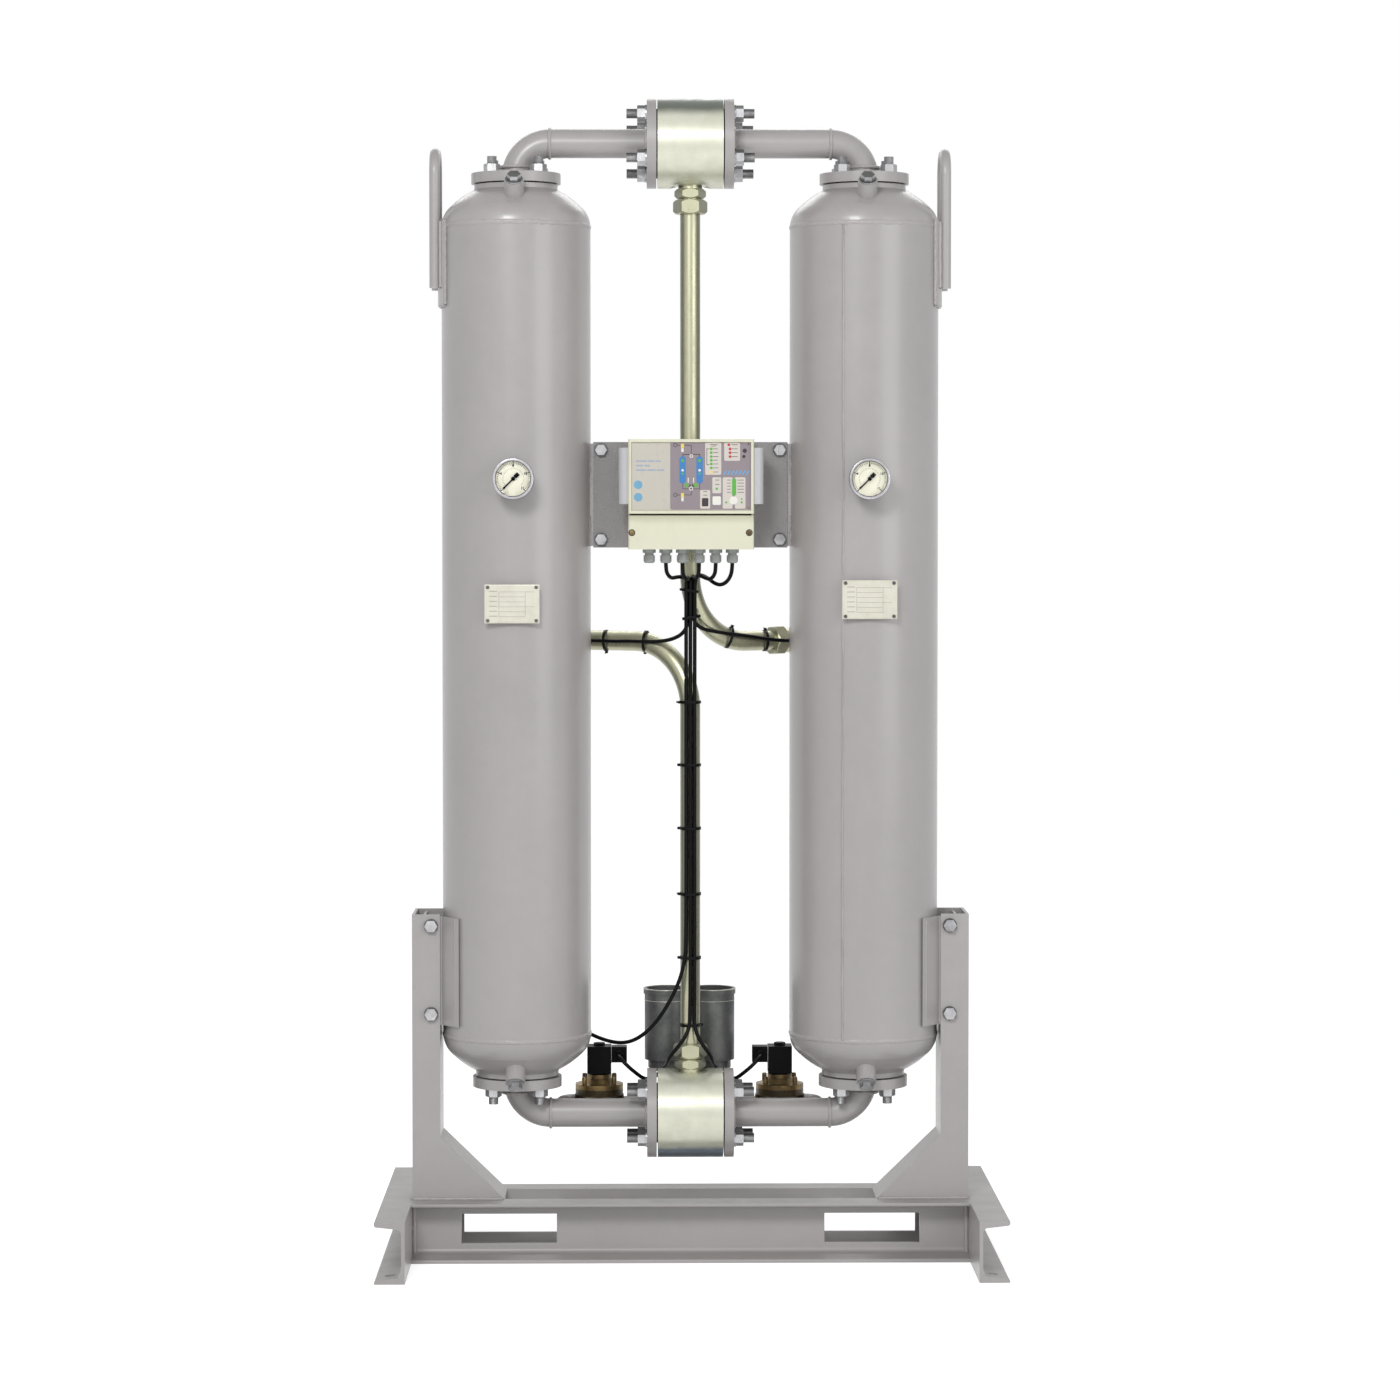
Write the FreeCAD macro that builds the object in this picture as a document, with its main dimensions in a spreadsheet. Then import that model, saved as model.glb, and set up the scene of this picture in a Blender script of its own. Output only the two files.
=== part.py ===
# Twin vessel desiccant air dryer on a welded channel base.
# X runs across the machine, Y runs to the back, Z is up, in millimetres.
# The origin is the centre of the base, on the floor.
import FreeCAD, Part
import math
import os
import Sketcher
from FreeCAD import Placement, Rotation, Vector

os.makedirs("parts", exist_ok=True)
doc = FreeCAD.newDocument("air_dryer")
sheet = doc.addObject("Spreadsheet::Sheet", "sizes")
nodes = []

# Driving sizes

DRIVING = {
    # base frame of rolled channels
    "frame_depth": 550, "frame_over": 174.5, "channel_tall": 100, "channel_wide": 50,
    "web_thick": 6, "flange_tip": 6.7, "flange_root": 10.3, "toe_round": 4,
    "root_round": 8, "beam_back": 49, "anchor_hole": 18, "anchor_out": 25,
    "anchor_end": 32, "fork_inner": 225, "fork_wide": 160, "fork_low": 26,
    "fork_tall": 50,
    # folded posts and the brackets that slide into them
    "post_wide": 47, "post_deep": 110, "post_top": 580, "post_wall": 5,
    "gusset_high": 205, "gusset_reach": 108, "bracket_low": 394, "bracket_top": 576,
    "bracket_wall": 4, "bracket_gap": 0.5, "bracket_inset": 12, "bracket_bite": 0.1,
    "bracket_splay": 1.3, "bracket_reach": 30, "post_bolt": 12,
    "post_bolt_in": 32, "post_bolt_high": 561, "post_bolt_low": 413,
    "post_bolt_grip": 26, "post_bolt_head": 19, "post_washer": 12, "post_washer_thick": 2.5,
    # pressure vessels
    "vessel_x": 292.5, "vessel_round": 125, "vessel_wall": 5, "head_drop": 136,
    "head_rise": 140, "knuckle": 45, "crown": 157.5, "neck_bore": 21.5,
    "collar_round": 70, "collar_tall": 8, "collar_thick": 20, "boss_round": 16.5, "boss_long": 25,
    "boss_offset": 90, "boss_lean": 36, "plug_flats": 20, "plug_tall": 9,
    "plug_washer": 14.5, "plug_washer_thick": 2.5, "screen_thick": 3,
    "screen_inset": 6, "bed_gap": 0.3, "gauge_z": 1308, "gauge_socket": 13,
    "gauge_socket_long": 11, "lug_tall": 22, "lug_thick": 6, "lug_end": 14, "lug_sink": 4,
    # lifting lugs
    "lift_bar": 9, "lift_half": 35, "lift_over": 132, "lift_under": 104,
    "pad_thick": 6, "pad_under": 133, "pad_over": 9, "pad_half": 50,
    # flanges, spools and valve blocks
    "flange_round": 75, "flange_thick": 17, "block_flange_thick": 16, "bolt_circle": 55,
    "bolt_hole": 9, "stud_round": 8, "stud_seat": 12, "stud_over": 26, "nut_flats": 24,
    "nut_tall": 13, "gasket_thick": 2, "gasket_round": 46, "pipe_round": 24.15,
    "pipe_wall": 2.6, "elbow_bend": 57, "top_pipe_z": 1872, "low_pipe_z": 238,
    "block_half": 55, "chamber_round": 27, "ball_round": 25, "ball_x": 24,
    "spot_round": 35, "spot_deep": 5, "rod_over": 34, "washer_round": 15,
    "washer_thick": 3, "top_turn": 30, "low_turn": 42, "port_bore": 15,
    # tube connectors and bent tubes
    "adaptor_collar": 20, "adaptor_collar_tall": 6, "adaptor_flats": 46,
    "adaptor_tall": 16, "adaptor_nose": 18, "nut_gap": 2, "union_flats": 50,
    "union_tall": 24, "tube_round": 16.85, "tube_wall": 3.2, "tube_bend": 112,
    "tube_level": 1035, "tube_lean": 34, "outlet_reach": 187, "inlet_reach": 244,
    "end_nut_long": 22, "end_nut_flats": 46, "socket_round": 21, "socket_long": 36,
    "port_thread": 15.15, "port_deep": 20, "sensor_round": 8.8, "sensor_long": 24,
    "probe_round": 5.5, "probe_back": 45, "probe_lead": 14.5, "strap_gap": 0.2, "probe_z": 396,
    "plug_lead": 8.5, "plug_curve": 3,
    # controller and its plate
    "plate_front": 23, "plate_thick": 3, "plate_long": 326, "plate_tall": 177,
    "plate_z": 1283, "plate_bolt_in": 142.5, "plate_bolt_z": 75, "plate_bolt": 10,
    "plate_bolt_flats": 17, "plate_bolt_head": 6.5, "plate_washer": 11.7,
    "plate_washer_thick": 2, "plate_bolt_grip": 16,
    "box_wide": 208, "box_under": 91, "box_tall": 182, "box_deep": 60, "box_wall": 3,
    "box_round": 4, "lid_foot": 59, "lid_deep": 45, "lid_frame": 5, "lid_recess": 5,
    "panel_thick": 1.5, "cover_tall": 56, "cover_deep": 43, "clip_out": 16,
    "clip_deep": 38, "clip_foot": 75, "clip_head": 168, "clip_wall": 2.5,
    "gland_y": 75, "gland_pitch": 27.7, "gland_flats": 19, "gland_hex_tall": 6,
    "gland_neck": 7.5, "gland_neck_tall": 4, "gland_nut_tall": 13, "cable_round": 3.3,
    "gland_grip": 6, "gland_drop": 12, "route_unit": 1,
    # gauges
    "case_round": 31.5, "bezel_round": 34, "case_back": 147, "case_deep": 31,
    "bezel_deep": 9, "case_bore": 29.8, "case_bore_deep": 12, "dial_thick": 1,
    "window_thick": 2, "window_inset": 2, "pointer_long": 22, "pointer_tail": 10,
    "pointer_thick": 0.8, "pointer_wide": 1.6, "hub_round": 3, "hub_long": 3,
    "hub_gap": 0.3, "stem_flats": 17,
    # purge valves and silencers behind the lower block
    "purge_y": 100, "purge_x": 155, "purge_half": 42, "purge_barrel": 18,
    "purge_disc": 41, "purge_joint_z": 266, "purge_disc_thick": 8, "purge_skirt": 26,
    "purge_foot_z": 218, "bonnet_round": 21, "bonnet_cone": 30, "bonnet_z": 290,
    "coil_wide": 41, "coil_low": 293, "coil_top": 339, "coil_seat": 17,
    "coil_nut_flats": 17, "coil_nut_tall": 5, "coil_plug_wide": 27,
    "coil_plug_tall": 27, "coil_plug_z": 324.5, "coil_plug_gland": 8,
    "coil_plug_gland_long": 12, "purge_pipe": 13.45, "purge_pipe_wall": 2.3,
    "purge_elbow": 18, "purge_elbow_round": 17, "silencer_x": 39, "silencer_round": 38,
    "silencer_rim": 40, "silencer_rim_tall": 9, "silencer_neck": 32, "neck_low": 297,
    "silencer_low": 316, "silencer_top": 438, "silencer_wall": 3.5,
    "silencer_bend": 28, "silencer_chamfer": 5,
}


class Size:
    # A size with the sheet formula that gives it.

    def __init__(self, amount, formula):
        self.amount = amount
        self.formula = formula

    def mixed(self, sign, other, amount):
        return Size(amount, "(%s %s %s)" % (self.formula, sign, formula_of(other)))

    def __add__(self, other):
        return self.mixed("+", other, self.amount + amount_of(other))

    def __sub__(self, other):
        return self.mixed("-", other, self.amount - amount_of(other))

    def __mul__(self, other):
        return self.mixed("*", other, self.amount * amount_of(other))

    def __truediv__(self, other):
        return self.mixed("/", other, self.amount / amount_of(other))

    def __radd__(self, other):
        return Size(float(other), repr(float(other))) + self

    def __rsub__(self, other):
        return Size(float(other), "(%r)" % float(other)) - self

    def __rmul__(self, other):
        return Size(float(other), "(%r)" % float(other)) * self

    def __neg__(self):
        return -1.0 * self


def amount_of(size):
    return size.amount if isinstance(size, Size) else float(size)


def formula_of(size):
    return size.formula if isinstance(size, Size) else "(%r)" % float(size)


def root(size):
    return Size(math.sqrt(size.amount), "sqrt(%s)" % size.formula)


def sine(angle):
    return Size(math.sin(math.radians(angle.amount)), "sin(%s)" % angle.formula)


def cosine(angle):
    return Size(math.cos(math.radians(angle.amount)), "cos(%s)" % angle.formula)


class Sizes:
    pass


def fill_sheet():
    s = Sizes()
    for row, (name, value) in enumerate(DRIVING.items(), start=1):
        sheet.set("A%d" % row, name)
        sheet.set("B%d" % row, str(value))
        sheet.setAlias("B%d" % row, name)
        setattr(s, name, Size(float(value), "sizes." + name))
    doc.recompute()
    return s


s = fill_sheet()

# Heights and places that follow from the pipes, the vessels and the frame

s.shell_low = s.low_pipe_z + s.head_drop
s.shell_top = s.top_pipe_z - s.head_rise
s.lift_top = s.shell_top + s.lift_over
s.lift_low = s.shell_top - s.lift_under
s.pad_low = s.shell_top - s.pad_under
s.pad_top = s.shell_top + s.pad_over
s.frame_inner = s.vessel_x + s.frame_over
s.anchor_x = s.frame_inner + s.anchor_out
s.anchor_y = s.frame_depth / 2 - s.anchor_end
s.post_bolt_x = s.frame_inner - s.post_bolt_in
s.plate_bolt_x = s.vessel_x - s.plate_bolt_in
s.box_low = s.plate_z - s.box_under
s.box_top = s.box_low + s.box_tall
s.lid_low = s.box_low + s.lid_foot
s.cover_top = s.box_low + s.cover_tall
s.clip_low = s.box_low + s.clip_foot
s.clip_top = s.box_low + s.clip_head

# Directions that a turned or extruded piece can point

UP = Rotation()
DOWN = Rotation(Vector(1, 0, 0), 180)
RIGHT = Rotation(Vector(0, 1, 0), 90)
LEFT = Rotation(Vector(0, 1, 0), -90)
BACK = Rotation(Vector(1, 0, 0), -90)
FRONT = Rotation(Vector(1, 0, 0), 90)


def bind(thing, prop, size):
    thing.setExpression(prop, formula_of(size))


def put(thing, x=0, y=0, z=0, turn=UP):
    thing.Placement = Placement(Vector(0, 0, 0), turn)
    for letter, size in zip("xyz", (x, y, z)):
        bind(thing, "Placement.Base." + letter, size)
    return thing


def finish(thing, label):
    thing.Label = label
    nodes.append(thing)
    return thing


# Part primitives


def cylinder(radius, height, x=0, y=0, z=0, turn=UP):
    thing = doc.addObject("Part::Cylinder", "cylinder")
    bind(thing, "Radius", radius)
    bind(thing, "Height", height)
    return put(thing, x, y, z, turn)


def cone(low, high, height, x=0, y=0, z=0, turn=UP):
    thing = doc.addObject("Part::Cone", "cone")
    bind(thing, "Radius1", low)
    bind(thing, "Radius2", high)
    bind(thing, "Height", height)
    return put(thing, x, y, z, turn)


def hexagon(flats, height, x=0, y=0, z=0, turn=UP):
    thing = doc.addObject("Part::Prism", "hexagon")
    thing.Polygon = 6
    bind(thing, "Circumradius", flats / math.sqrt(3))
    bind(thing, "Height", height)
    return put(thing, x, y, z, turn)


def slab(length, width, height, x, y, z):
    thing = doc.addObject("Part::Box", "slab")
    bind(thing, "Length", length)
    bind(thing, "Width", width)
    bind(thing, "Height", height)
    return put(thing, x, y, z)


def quarter(bend, radius, x, y, z, start, sweep):
    # Quarter of a ring round (x, y, z): start and sweep are its two end directions.
    thing = doc.addObject("Part::Torus", "quarter")
    bind(thing, "Radius1", bend)
    bind(thing, "Radius2", radius)
    thing.Angle3 = 90
    turn = Rotation(start, sweep, start.cross(sweep), "ZXY")
    return put(thing, x, y, z, turn)


def joined(things):
    thing = doc.addObject("Part::MultiFuse", "joined")
    thing.Shapes = things
    thing.Refine = True
    return thing


def cut(base, tools):
    thing = doc.addObject("Part::Cut", "cut")
    thing.Base = base
    thing.Tool = tools[0] if len(tools) == 1 else joined(tools)
    return thing


def common(things):
    thing = doc.addObject("Part::MultiCommon", "common")
    thing.Shapes = things
    return thing


def group(things):
    thing = doc.addObject("Part::Compound", "group")
    thing.Links = things
    return thing


def copied(source, x=0, y=0, z=0, turn=UP):
    thing = doc.addObject("App::Link", "copied")
    thing.LinkedObject = source
    thing.LinkTransform = True
    return put(thing, x, y, z, turn)


# Sketches


def arc_centre(first, last, radius, turn):
    middle = (first + last) * 0.5
    chord = last - first
    away = math.sqrt(max(radius * radius - chord.Length * chord.Length / 4.0, 0.0))
    return middle + Vector(-chord.y, chord.x, 0).normalize() * away * turn


def draw(sketch, path, mirror=1):
    # A closed outline. A corner is (across, up), or (across, up, radius, turn) when an arc
    # leads to it: turn is 1 for an arc that bends to the left and -1 to the right.
    corners = [Vector(amount_of(p[0]) * mirror, amount_of(p[1]), 0) for p in path]
    ends = []
    for k, corner in enumerate(corners):
        after = (k + 1) % len(path)
        target = path[after]
        if len(target) == 2:
            line = Part.LineSegment(corner, corners[after])
            ends.append((sketch.addGeometry(line), 1, 2))
            continue
        turn = target[3] * mirror
        radius = amount_of(target[2])
        centre = arc_centre(corner, corners[after], radius, turn)
        low, high = (corner, corners[after]) if turn > 0 else (corners[after], corner)
        start = math.atan2(low.y - centre.y, low.x - centre.x)
        stop = math.atan2(high.y - centre.y, high.x - centre.x)
        if stop < start:
            stop += 2 * math.pi
        circle = Part.Circle(centre, Vector(0, 0, 1), radius)
        index = sketch.addGeometry(Part.ArcOfCircle(circle, start, stop))
        ends.append((index, 1, 2) if turn > 0 else (index, 2, 1))
        rule = sketch.addConstraint(Sketcher.Constraint("Radius", index, radius))
        bind(sketch, "Constraints[%d]" % rule, target[2])
    for k, (index, first, last) in enumerate(ends):
        following = ends[(k + 1) % len(ends)]
        link = Sketcher.Constraint("Coincident", index, last, following[0], following[1])
        sketch.addConstraint(link)
        spot = corners[k]
        for kind, value, size in (("DistanceX", spot.x, path[k][0] * mirror),
                                  ("DistanceY", spot.y, path[k][1])):
            rule = sketch.addConstraint(Sketcher.Constraint(kind, -1, 1, index, first, value))
            if isinstance(size, Size):
                bind(sketch, "Constraints[%d]" % rule, size)


def draw_circle(sketch, x, y, radius):
    centre = Vector(amount_of(x), amount_of(y), 0)
    circle = Part.Circle(centre, Vector(0, 0, 1), amount_of(radius))
    index = sketch.addGeometry(circle)
    for kind, value, size in (("DistanceX", centre.x, x), ("DistanceY", centre.y, y)):
        rule = sketch.addConstraint(Sketcher.Constraint(kind, -1, 1, index, 3, value))
        bind(sketch, "Constraints[%d]" % rule, size)
    rule = sketch.addConstraint(Sketcher.Constraint("Radius", index, amount_of(radius)))
    bind(sketch, "Constraints[%d]" % rule, radius)


def free_sketch(path, turn=UP, mirror=1):
    sketch = doc.addObject("Sketcher::SketchObject", "outline")
    sketch.Placement = Placement(Vector(0, 0, 0), turn)
    draw(sketch, path, mirror)
    return sketch


def turned(path, x=0, y=0, z=0, turn=UP):
    # A piece turned on a lathe: the path is (radius, height) round its own Z axis.
    thing = doc.addObject("Part::Revolution", "turned")
    thing.Source = free_sketch(path, FRONT)
    thing.Axis = Vector(0, 0, 1)
    thing.Angle = 360
    thing.Solid = True
    return put(thing, x, y, z, turn)


def extruded(path, low, tall, mirror=1):
    # A flat outline in X and Y, drawn up from low by tall.
    thing = doc.addObject("Part::Extrusion", "extruded")
    thing.Base = free_sketch(path, UP, mirror)
    thing.DirMode = "Custom"
    thing.Dir = Vector(0, 0, 1)
    bind(thing, "LengthFwd", tall)
    thing.Solid = True
    bind(thing, "Placement.Base.z", low)
    return thing


# PartDesign bodies


def new_body(label):
    body = doc.addObject("PartDesign::Body", label)
    return finish(body, label)


def sketch_on(body, role):
    sketch = body.newObject("Sketcher::SketchObject", "sketch")
    plane = [f for f in body.Origin.OriginFeatures if f.Role == role][0]
    sketch.AttachmentSupport = (plane, [""])
    sketch.MapMode = "FlatFace"
    return sketch


def pad_both(body, role, path, length, mirror=1):
    sketch = sketch_on(body, role)
    draw(sketch, path, mirror)
    pad = body.newObject("PartDesign::Pad", "pad")
    pad.Profile = sketch
    pad.SideType = "Symmetric"
    bind(pad, "Length", length)
    return pad


def pocket_both(body, sketch, length):
    pocket = body.newObject("PartDesign::Pocket", "pocket")
    pocket.Profile = sketch
    pocket.SideType = "Symmetric"
    bind(pocket, "Length", length)
    return pocket


# Base frame


def channel_section(back, high):
    # Rolled channel: back is its web's flat side, the flanges reach away from there.
    toe = s.toe_round
    bend = s.root_round
    tip = back + s.channel_wide
    inside = back + s.web_thick
    return [
        (back, 0), (tip, 0), (tip, s.flange_tip - toe), (tip - toe, s.flange_tip, toe, 1),
        (inside + bend, s.flange_root), (inside, s.flange_root + bend, bend, -1),
        (inside, high - s.flange_root - bend),
        (inside + bend, high - s.flange_root, bend, -1),
        (tip - toe, high - s.flange_tip), (tip, high - s.flange_tip + toe, toe, 1),
        (tip, high), (back, high),
    ]


def side_channel(label, side):
    body = new_body(label)
    section = channel_section(s.frame_inner, s.channel_tall)
    pad_both(body, "XZ_Plane", section, s.frame_depth, side)
    holes = sketch_on(body, "XY_Plane")
    for end in (-1, 1):
        draw_circle(holes, side * s.anchor_x, end * s.anchor_y, s.anchor_hole / 2)
    pocket_both(body, holes, s.channel_tall)


def cross_beam(label, side):
    body = new_body(label)
    section = channel_section(s.beam_back, s.channel_tall)
    pad_both(body, "YZ_Plane", section, s.frame_inner * 2, side)
    for end in (-1, 1):
        slot = sketch_on(body, "XZ_Plane")
        outer = s.fork_inner + s.fork_wide
        high = s.fork_low + s.fork_tall
        draw(slot, [(s.fork_inner, s.fork_low), (outer, s.fork_low), (outer, high),
                    (s.fork_inner, high)], end)
        pocket_both(body, slot, s.frame_depth)


def post(label, side):
    body = new_body(label)
    inner = s.frame_inner - s.post_wide
    low = s.channel_tall
    pad_both(body, "XZ_Plane", [
        (s.frame_inner, low), (s.frame_inner, s.post_top), (inner, s.post_top),
        (inner, s.gusset_high), (inner - s.gusset_reach, low),
    ], s.post_deep, side)
    wall = s.post_wall
    lean = s.gusset_reach / (s.gusset_high - low)
    shift = wall * root(1 + lean * lean)
    knee = s.gusset_high + (wall - shift) / lean
    over = 10
    space = sketch_on(body, "XZ_Plane")
    draw(space, [
        (s.frame_inner - wall, low - over), (s.frame_inner - wall, s.post_top + over),
        (inner - over, s.post_top + over), (inner - over, s.bracket_low - 1),
        (inner + wall, s.bracket_low - 1), (inner + wall, knee),
        (inner - s.gusset_reach + shift - over * lean, low - over),
    ], side)
    pocket_both(body, space, s.post_deep - wall * 2)
    holes = sketch_on(body, "XZ_Plane")
    for high in (s.post_bolt_high, s.post_bolt_low):
        draw_circle(holes, side * s.post_bolt_x, high, s.post_bolt / 2 + 0.5)
    pocket_both(body, holes, s.post_deep + over)


def bracket(label, side):
    # Plate folded to a U inside the post, its two wings splayed onto the vessel.
    out = s.post_deep / 2 - s.post_wall - s.bracket_gap
    wall = s.bracket_wall
    web = s.frame_inner - s.post_wall - s.bracket_inset
    slope = root(1 + s.bracket_splay * s.bracket_splay)
    touch = (s.vessel_round + wall - s.bracket_bite) * slope
    fold = s.vessel_x + (touch - out) / s.bracket_splay
    far = fold - s.bracket_reach
    wing = out + s.bracket_reach * s.bracket_splay
    shift = wall * slope
    inner_fold = fold - (shift - wall) / s.bracket_splay
    plate = extruded([
        (far, -wing), (fold, -out), (web, -out), (web, out), (fold, out), (far, wing),
        (far, wing - shift), (inner_fold, out - wall), (web - wall, out - wall),
        (web - wall, wall - out), (inner_fold, wall - out), (far, shift - wing),
    ], s.bracket_low, s.bracket_top - s.bracket_low, side)
    tools = [cylinder(s.vessel_round, s.bracket_top, side * s.vessel_x)]
    for high in (s.post_bolt_high, s.post_bolt_low):
        tools.append(cylinder(s.post_bolt / 2, out * 2 + 20, side * s.post_bolt_x,
                              -10 - out, high, BACK))
    finish(cut(plate, tools), label)


def post_bolts():
    washer = cylinder(s.post_washer, s.post_washer_thick)
    shank = cylinder(s.post_bolt / 2, s.post_bolt_grip, 0, 0, -s.post_bolt_grip)
    head = hexagon(s.post_bolt_head, s.post_bolt * 0.62, 0, 0, s.post_washer_thick)
    bolt = joined([washer, shank, head])
    wall = s.post_wall + s.bracket_gap + s.bracket_wall
    nut = cut(hexagon(s.post_bolt_head, s.post_bolt * 0.8, 0, 0, -wall - s.post_bolt * 0.8),
              [cylinder(s.post_bolt / 2, 40, 0, 0, -30)])
    things = []
    for side in (-1, 1):
        for high in (s.post_bolt_high, s.post_bolt_low):
            for face, turn in ((-1, FRONT), (1, BACK)):
                for piece in (bolt, nut):
                    things.append(copied(piece, side * s.post_bolt_x,
                                         face * s.post_deep / 2, high, turn))
    finish(group(things), "post_bolts")


# Pressure vessels

crown_drop = root((s.crown - s.knuckle) * (s.crown - s.knuckle)
                  - (s.vessel_round - s.knuckle) * (s.vessel_round - s.knuckle))
lean_across = (s.vessel_round - s.knuckle) / (s.crown - s.knuckle)
lean_up = crown_drop / (s.crown - s.knuckle)
collar_rise = root(s.crown * s.crown - s.collar_round * s.collar_round) - crown_drop
seat_top = s.shell_top + collar_rise + s.collar_tall
seat_low = s.shell_low - collar_rise - s.collar_tall


def head_path(weld, up, shrink):
    # Dished head from its collar outwards: crown arc, then knuckle arc, to the shell.
    crown = s.crown - shrink
    turn = (crown * lean_across, weld + up * (crown * lean_up - crown_drop))
    return turn, crown, s.knuckle - shrink


def vessel_profile():
    r = s.vessel_round
    w = s.vessel_wall
    bore = s.neck_bore
    top_turn, crown, knuckle = head_path(s.shell_top, 1, Size(0, "0"))
    low_turn = head_path(s.shell_low, -1, Size(0, "0"))[0]
    top_in, crown_in, knuckle_in = head_path(s.shell_top, 1, w)
    low_in = head_path(s.shell_low, -1, w)[0]
    under = collar_rise + s.collar_tall - s.collar_thick
    reach = root(crown_in * crown_in - (crown_drop + under) * (crown_drop + under))
    return [
        (bore, seat_low), (s.collar_round, seat_low),
        (s.collar_round, s.shell_low - collar_rise),
        (low_turn[0], low_turn[1], crown, 1), (r, s.shell_low, knuckle, 1),
        (r, s.shell_top), (top_turn[0], top_turn[1], knuckle, 1),
        (s.collar_round, s.shell_top + collar_rise, crown, 1),
        (s.collar_round, seat_top), (bore, seat_top), (bore, s.shell_top + under),
        (reach, s.shell_top + under), (top_in[0], top_in[1], crown_in, -1),
        (r - w, s.shell_top, knuckle_in, -1), (r - w, s.shell_low),
        (low_in[0], low_in[1], knuckle_in, -1), (reach, s.shell_low - under, crown_in, -1),
        (bore, s.shell_low - under),
    ]


boss_rise = root(s.crown * s.crown - s.boss_offset * s.boss_offset) - crown_drop


def boss_spots(side):
    # Foot of each sloping boss on the two heads, and the way it points.
    lean = s.boss_lean.amount
    up = Rotation(Vector(1, 0, 0), lean)
    down = Rotation(Vector(1, 0, 0), 180 - lean)
    x = side * s.vessel_x
    return [(x, -s.boss_offset, s.shell_top + boss_rise, up),
            (x, -s.boss_offset, s.shell_low - boss_rise, down)]


def stud_spots(side, turn=45):
    # Four places on the bolt circle of a vessel flange.
    for k in range(4):
        angle = math.radians(turn + 90 * k)
        yield (side * s.vessel_x + s.bolt_circle * math.cos(angle),
               s.bolt_circle * math.sin(angle))


def vessel(label, side):
    x = side * s.vessel_x
    shell = turned(vessel_profile(), x)
    adds = [shell]
    sink = 4
    for bx, by, bz, turn in boss_spots(side):
        boss = cylinder(s.boss_round, s.boss_long + sink, 0, 0, -sink)
        adds.append(copied(boss, bx, by, bz, turn))
    front = s.vessel_round + s.gauge_socket_long
    adds.append(cylinder(s.gauge_socket, s.gauge_socket_long + sink, x, -front,
                         s.gauge_z, BACK))
    tools = []
    for sx, sy in stud_spots(side):
        tools.append(cylinder(s.stud_round, s.stud_seat + 5, sx, sy, seat_top - s.stud_seat))
        tools.append(cylinder(s.stud_round, s.stud_seat + 5, sx, sy, seat_low - 5))
    finish(cut(joined(adds), tools), label)


def panel_lugs():
    # Four bars welded to the vessels, which carry the controller's plate.
    front = s.plate_front - s.plate_thick
    start = s.plate_bolt_x - s.lug_end
    reach = s.vessel_x - s.vessel_round + s.lug_sink - start
    things = []
    for side in (-1, 1):
        corner = start if side > 0 else -(start + reach)
        wall = cylinder(s.vessel_round, s.shell_top, side * s.vessel_x)
        for end in (-1, 1):
            middle = s.plate_z + end * s.plate_bolt_z
            bar = slab(reach, s.lug_thick, s.lug_tall, corner, -front,
                       middle - s.lug_tall / 2)
            hole = cylinder(s.plate_bolt / 2, s.lug_thick * 3, side * s.plate_bolt_x,
                            -front - s.lug_thick, middle, BACK)
            things.append(cut(bar, [wall, hole]))
    finish(group(things), "panel_lugs")


def dome_plugs():
    washer = cylinder(s.plug_washer, s.plug_washer_thick, 0, 0, s.boss_long)
    head = hexagon(s.plug_flats, s.plug_tall, 0, 0, s.boss_long + s.plug_washer_thick)
    plug = joined([washer, head])
    spots = boss_spots(-1) + boss_spots(1)
    finish(group([copied(plug, *spot) for spot in spots]), "dome_plugs")


def vessel_filling():
    inside = s.vessel_round - s.vessel_wall - s.bed_gap
    low = s.shell_low + s.screen_inset
    top = s.shell_top - s.screen_inset
    screens = []
    beds = []
    for side in (-1, 1):
        x = side * s.vessel_x
        screens.append(cylinder(inside, s.screen_thick, x, 0, low))
        screens.append(cylinder(inside, s.screen_thick, x, 0, top - s.screen_thick))
        bed_low = low + s.screen_thick + s.bed_gap
        bed_top = top - s.screen_thick - s.bed_gap
        beds.append(cylinder(inside, bed_top - bed_low, x, 0, bed_low))
    finish(group(screens), "flow_screens")
    finish(group(beds), "desiccant_beds")


def lifting_lug(label, side):
    # Round bar bent to a U, welded to a curved pad on the outer side of the vessel.
    x = side * s.vessel_x
    outer = s.vessel_round + s.pad_thick
    pad_tall = s.pad_top - s.pad_low
    wrap = cut(cylinder(outer, pad_tall, x, 0, s.pad_low),
               [cylinder(s.vessel_round, pad_tall + 20, x, 0, s.pad_low - 10)])
    half = slab(outer, s.pad_half * 2, pad_tall, 0, 0, 0)
    corner = s.vessel_x if side > 0 else -(s.vessel_x + outer)
    window = put(half, corner, -s.pad_half, s.pad_low)
    pad = common([wrap, window])
    reach = root(outer * outer - s.lift_half * s.lift_half)
    bar_x = side * (s.vessel_x + reach + s.lift_bar - 0.6)
    legs_top = s.lift_top - s.lift_bar - s.lift_half
    pieces = [pad]
    for end in (-1, 1):
        pieces.append(cylinder(s.lift_bar, legs_top - s.lift_low, bar_x, end * s.lift_half,
                               s.lift_low))
        pieces.append(quarter(s.lift_half, s.lift_bar, bar_x, 0, legs_top,
                              Vector(0, end, 0), Vector(0, 0, 1)))
    finish(joined(pieces), label)


# Flanged pipe spools

elbow_x = s.vessel_x - s.elbow_bend
flange_seat = s.block_half + s.gasket_thick


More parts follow.
